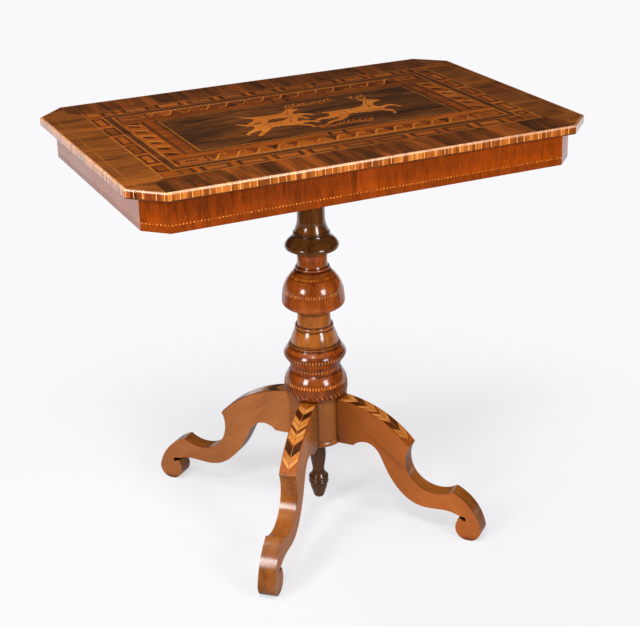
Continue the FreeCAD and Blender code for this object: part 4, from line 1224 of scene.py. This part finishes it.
# Leaves of a front knee from the hub to the foot: length and finish
KNEE_LEAVES = (
    (20, "tan_leaf"), (14, "knee_leaf"), (17, "dark_leaf"), (2, "tan_leaf"), (9, "knee_leaf"),
    (1.5, "tan_leaf"), (9.5, "knee_leaf"), (7, "brown_leaf"), (10, "knee_leaf"), (1.5, "tan_leaf"),
    (10.5, "knee_leaf"), (5, "brown_leaf"), (18, "dark_leaf"), (11, "knee_leaf"), (1.5, "tan_leaf"),
    (8.5, "knee_leaf"), (1.5, "brown_leaf"), (18, "tan_leaf"))
# Half width of the line down the middle, how proud the leaves stand, their clear ends, length of a bend
KNEE_LINE = 0.7
KNEE_PROUD = 0.22 * MM
KNEE_CLEAR = 0.5
KNEE_BEND = 5
KNEE_LINE_BENDS = 36
KNEE_COLUMN_SHARES = (0.0, 0.25, 0.5, 0.75, 1.0)
LEG_SIDES = {"front_right": (1, -1), "back_right": (1, 1), "back_left": (-1, 1), "front_left": (-1, -1)}


def leg_directions(sign_x, sign_y):
    """Directions along a leg from the hub and across it."""
    angle = FRONT_LEG_ANGLE if sign_y < 0 else BACK_LEG_ANGLE
    out = Vector((sign_x * math.sin(angle), sign_y * math.cos(angle), 0))
    return out, Vector((-out.y, out.x, 0))


def make_knees():
    """Herringbone of light and dark leaves over each knee."""
    meshes = defaultdict(bmesh.new)
    columns = [KNEE_LINE + (KNEE_HALF - KNEE_LINE) * share for share in KNEE_COLUMN_SHARES]
    for sign_x, sign_y in LEG_SIDES.values():
        out, across = leg_directions(sign_x, sign_y)
        (middle_out, middle_up), radius, turn, arc = FRONT_KNEE if sign_y < 0 else BACK_KNEE

        def on_knee(s, u):
            angle = turn + min(max(s, KNEE_CLEAR), arc - KNEE_CLEAR) / radius
            normal = out * math.sin(angle) + Vector((0, 0, math.cos(angle)))
            place = out * middle_out + Vector((0, 0, middle_up)) + across * u + normal * radius
            return place * MM, normal

        start = 0.0
        for front_length, finish in KNEE_LEAVES:
            length = front_length * arc / FRONT_KNEE[3]
            bends = max(2, round(length / KNEE_BEND))
            for side in (-1, 1):
                rows = []
                for bend in range(bends + 1):
                    s = start + length * bend / bends
                    rows.append([on_knee(s - KNEE_SLOPE * u, side * u) for u in columns])
                add_sheet(meshes[finish], rows, proud=KNEE_PROUD)
            start += length
        rows = []
        for bend in range(KNEE_LINE_BENDS + 1):
            rows.append([on_knee(arc * bend / KNEE_LINE_BENDS, u) for u in (-KNEE_LINE, KNEE_LINE)])
        add_sheet(meshes["string"], rows, proud=KNEE_PROUD)
    for finish, mesh in meshes.items():
        bmesh.ops.remove_doubles(mesh, verts=mesh.verts, dist=FINEST)
        bmesh.ops.dissolve_degenerate(mesh, dist=FINEST, edges=mesh.edges)
        add_piece("knee_" + finish, mesh, finish)


# Softened arrises of the legs and of the top's lower edge
LEG_EASE = 1.3 * MM
EDGE_EASE = 2.6 * MM
EASE_ANGLE = math.radians(35)
EASE_STEPS = 3
# Corners closer than this are one, and faces that differ by less than this are one
WELD = 0.01 * MM
FLAT_ANGLE = math.radians(1)
EDGE_BANDS = ("front", "right", "back", "left", "corners")
EDGE_LEAST = 20 * MM
# How squarely a leg's face looks sideways for a flank, and at most for its front and back
FLANK_LEAST = 0.985
FACE_MOST = 0.15
# How far an edge's face looks down for its underside before and after easing, and at most for its outside
UNDER_LEAST = 0.9
EASED_UNDER_LEAST = 0.15
OUTSIDE_MOST = 0.1


def eased_mesh(name, chosen, offset):
    """Mesh of a solid with the chosen edges rounded off."""
    mesh = bmesh.new()
    mesh.from_mesh(nodes[name].data)
    bmesh.ops.remove_doubles(mesh, verts=mesh.verts, dist=WELD)
    bmesh.ops.dissolve_limit(mesh, angle_limit=FLAT_ANGLE, verts=mesh.verts, edges=mesh.edges)
    sharp = [edge for edge in mesh.edges if len(edge.link_faces) == 2 and chosen(edge)]
    bmesh.ops.bevel(
        mesh, geom=sharp, offset=offset, offset_type="OFFSET", segments=EASE_STEPS, profile=0.5,
        affect="EDGES", clamp_overlap=True)
    for face in mesh.faces:
        face.smooth = True
    return mesh


def add_eased(name, mesh, slot, finish, *more):
    """Eased piece in place of its solid, in one finish and more for some of its faces."""
    piece = add_piece("eased_" + name, mesh, finish)
    for other in more:
        piece.data.materials.append(FINISHES[other])
    piece.modifiers.new("even_shading", "WEIGHTED_NORMAL").keep_sharp = True
    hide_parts(name)


def make_eased_legs():
    """Legs with rubbed edges in place of the sharp sawn ones."""
    for side, (sign_x, sign_y) in LEG_SIDES.items():
        mesh = eased_mesh("leg_" + side, lambda edge: edge.calc_face_angle() > EASE_ANGLE, LEG_EASE)
        across = leg_directions(sign_x, sign_y)[1]
        for face in mesh.faces:
            sideways = abs(face.normal.dot(across))
            # Flanks take the leg's plank, top and front faces its darker copy as painted shade, arrises the
            # arris finish
            face.material_index = 0 if sideways > FLANK_LEAST else 1 if sideways < FACE_MOST else 2
        add_eased("leg_" + side, mesh, "walnut_legs", "leg_" + side, "shaded_leg_face", "leg_arris")


def make_eased_edges():
    """Edge of the top with its lower arris rubbed round, and its downward faces in a darker finish as painted
    shade.
    """
    def lower_arris(edge):
        under = [face for face in edge.link_faces if face.normal.z < -UNDER_LEAST]
        outer = [face for face in edge.link_faces if abs(face.normal.z) < OUTSIDE_MOST]
        middle = (edge.verts[0].co + edge.verts[1].co) / 2
        return under and outer and edge.calc_length() > EDGE_LEAST and outer[0].normal.dot(middle) > 0

    for band in EDGE_BANDS:
        name = "edge_band_" + band
        mesh = eased_mesh(name, lower_arris, EDGE_EASE)
        for edge in mesh.edges:
            edge.smooth = edge.calc_face_angle(0) < EASE_ANGLE
        for face in mesh.faces:
            # Faces that look down take the darker finish, a painted shade
            face.material_index = int(face.normal.z < -EASED_UNDER_LEAST)
        add_eased(name, mesh, "edge_blocks", NODE_FINISHES[name], "shaded_edge_underside")


bpy.context.scene.view_settings.view_transform = "Standard"
dress_nodes()
make_key_bands()
make_scroll_bands()
make_rope_bands()
make_inner_details()
make_hunt()
make_frieze_dots()
make_pillar_inlay()
make_knees()
make_eased_legs()
make_eased_edges()
make_camera()
make_lights()
make_world()
make_floor()
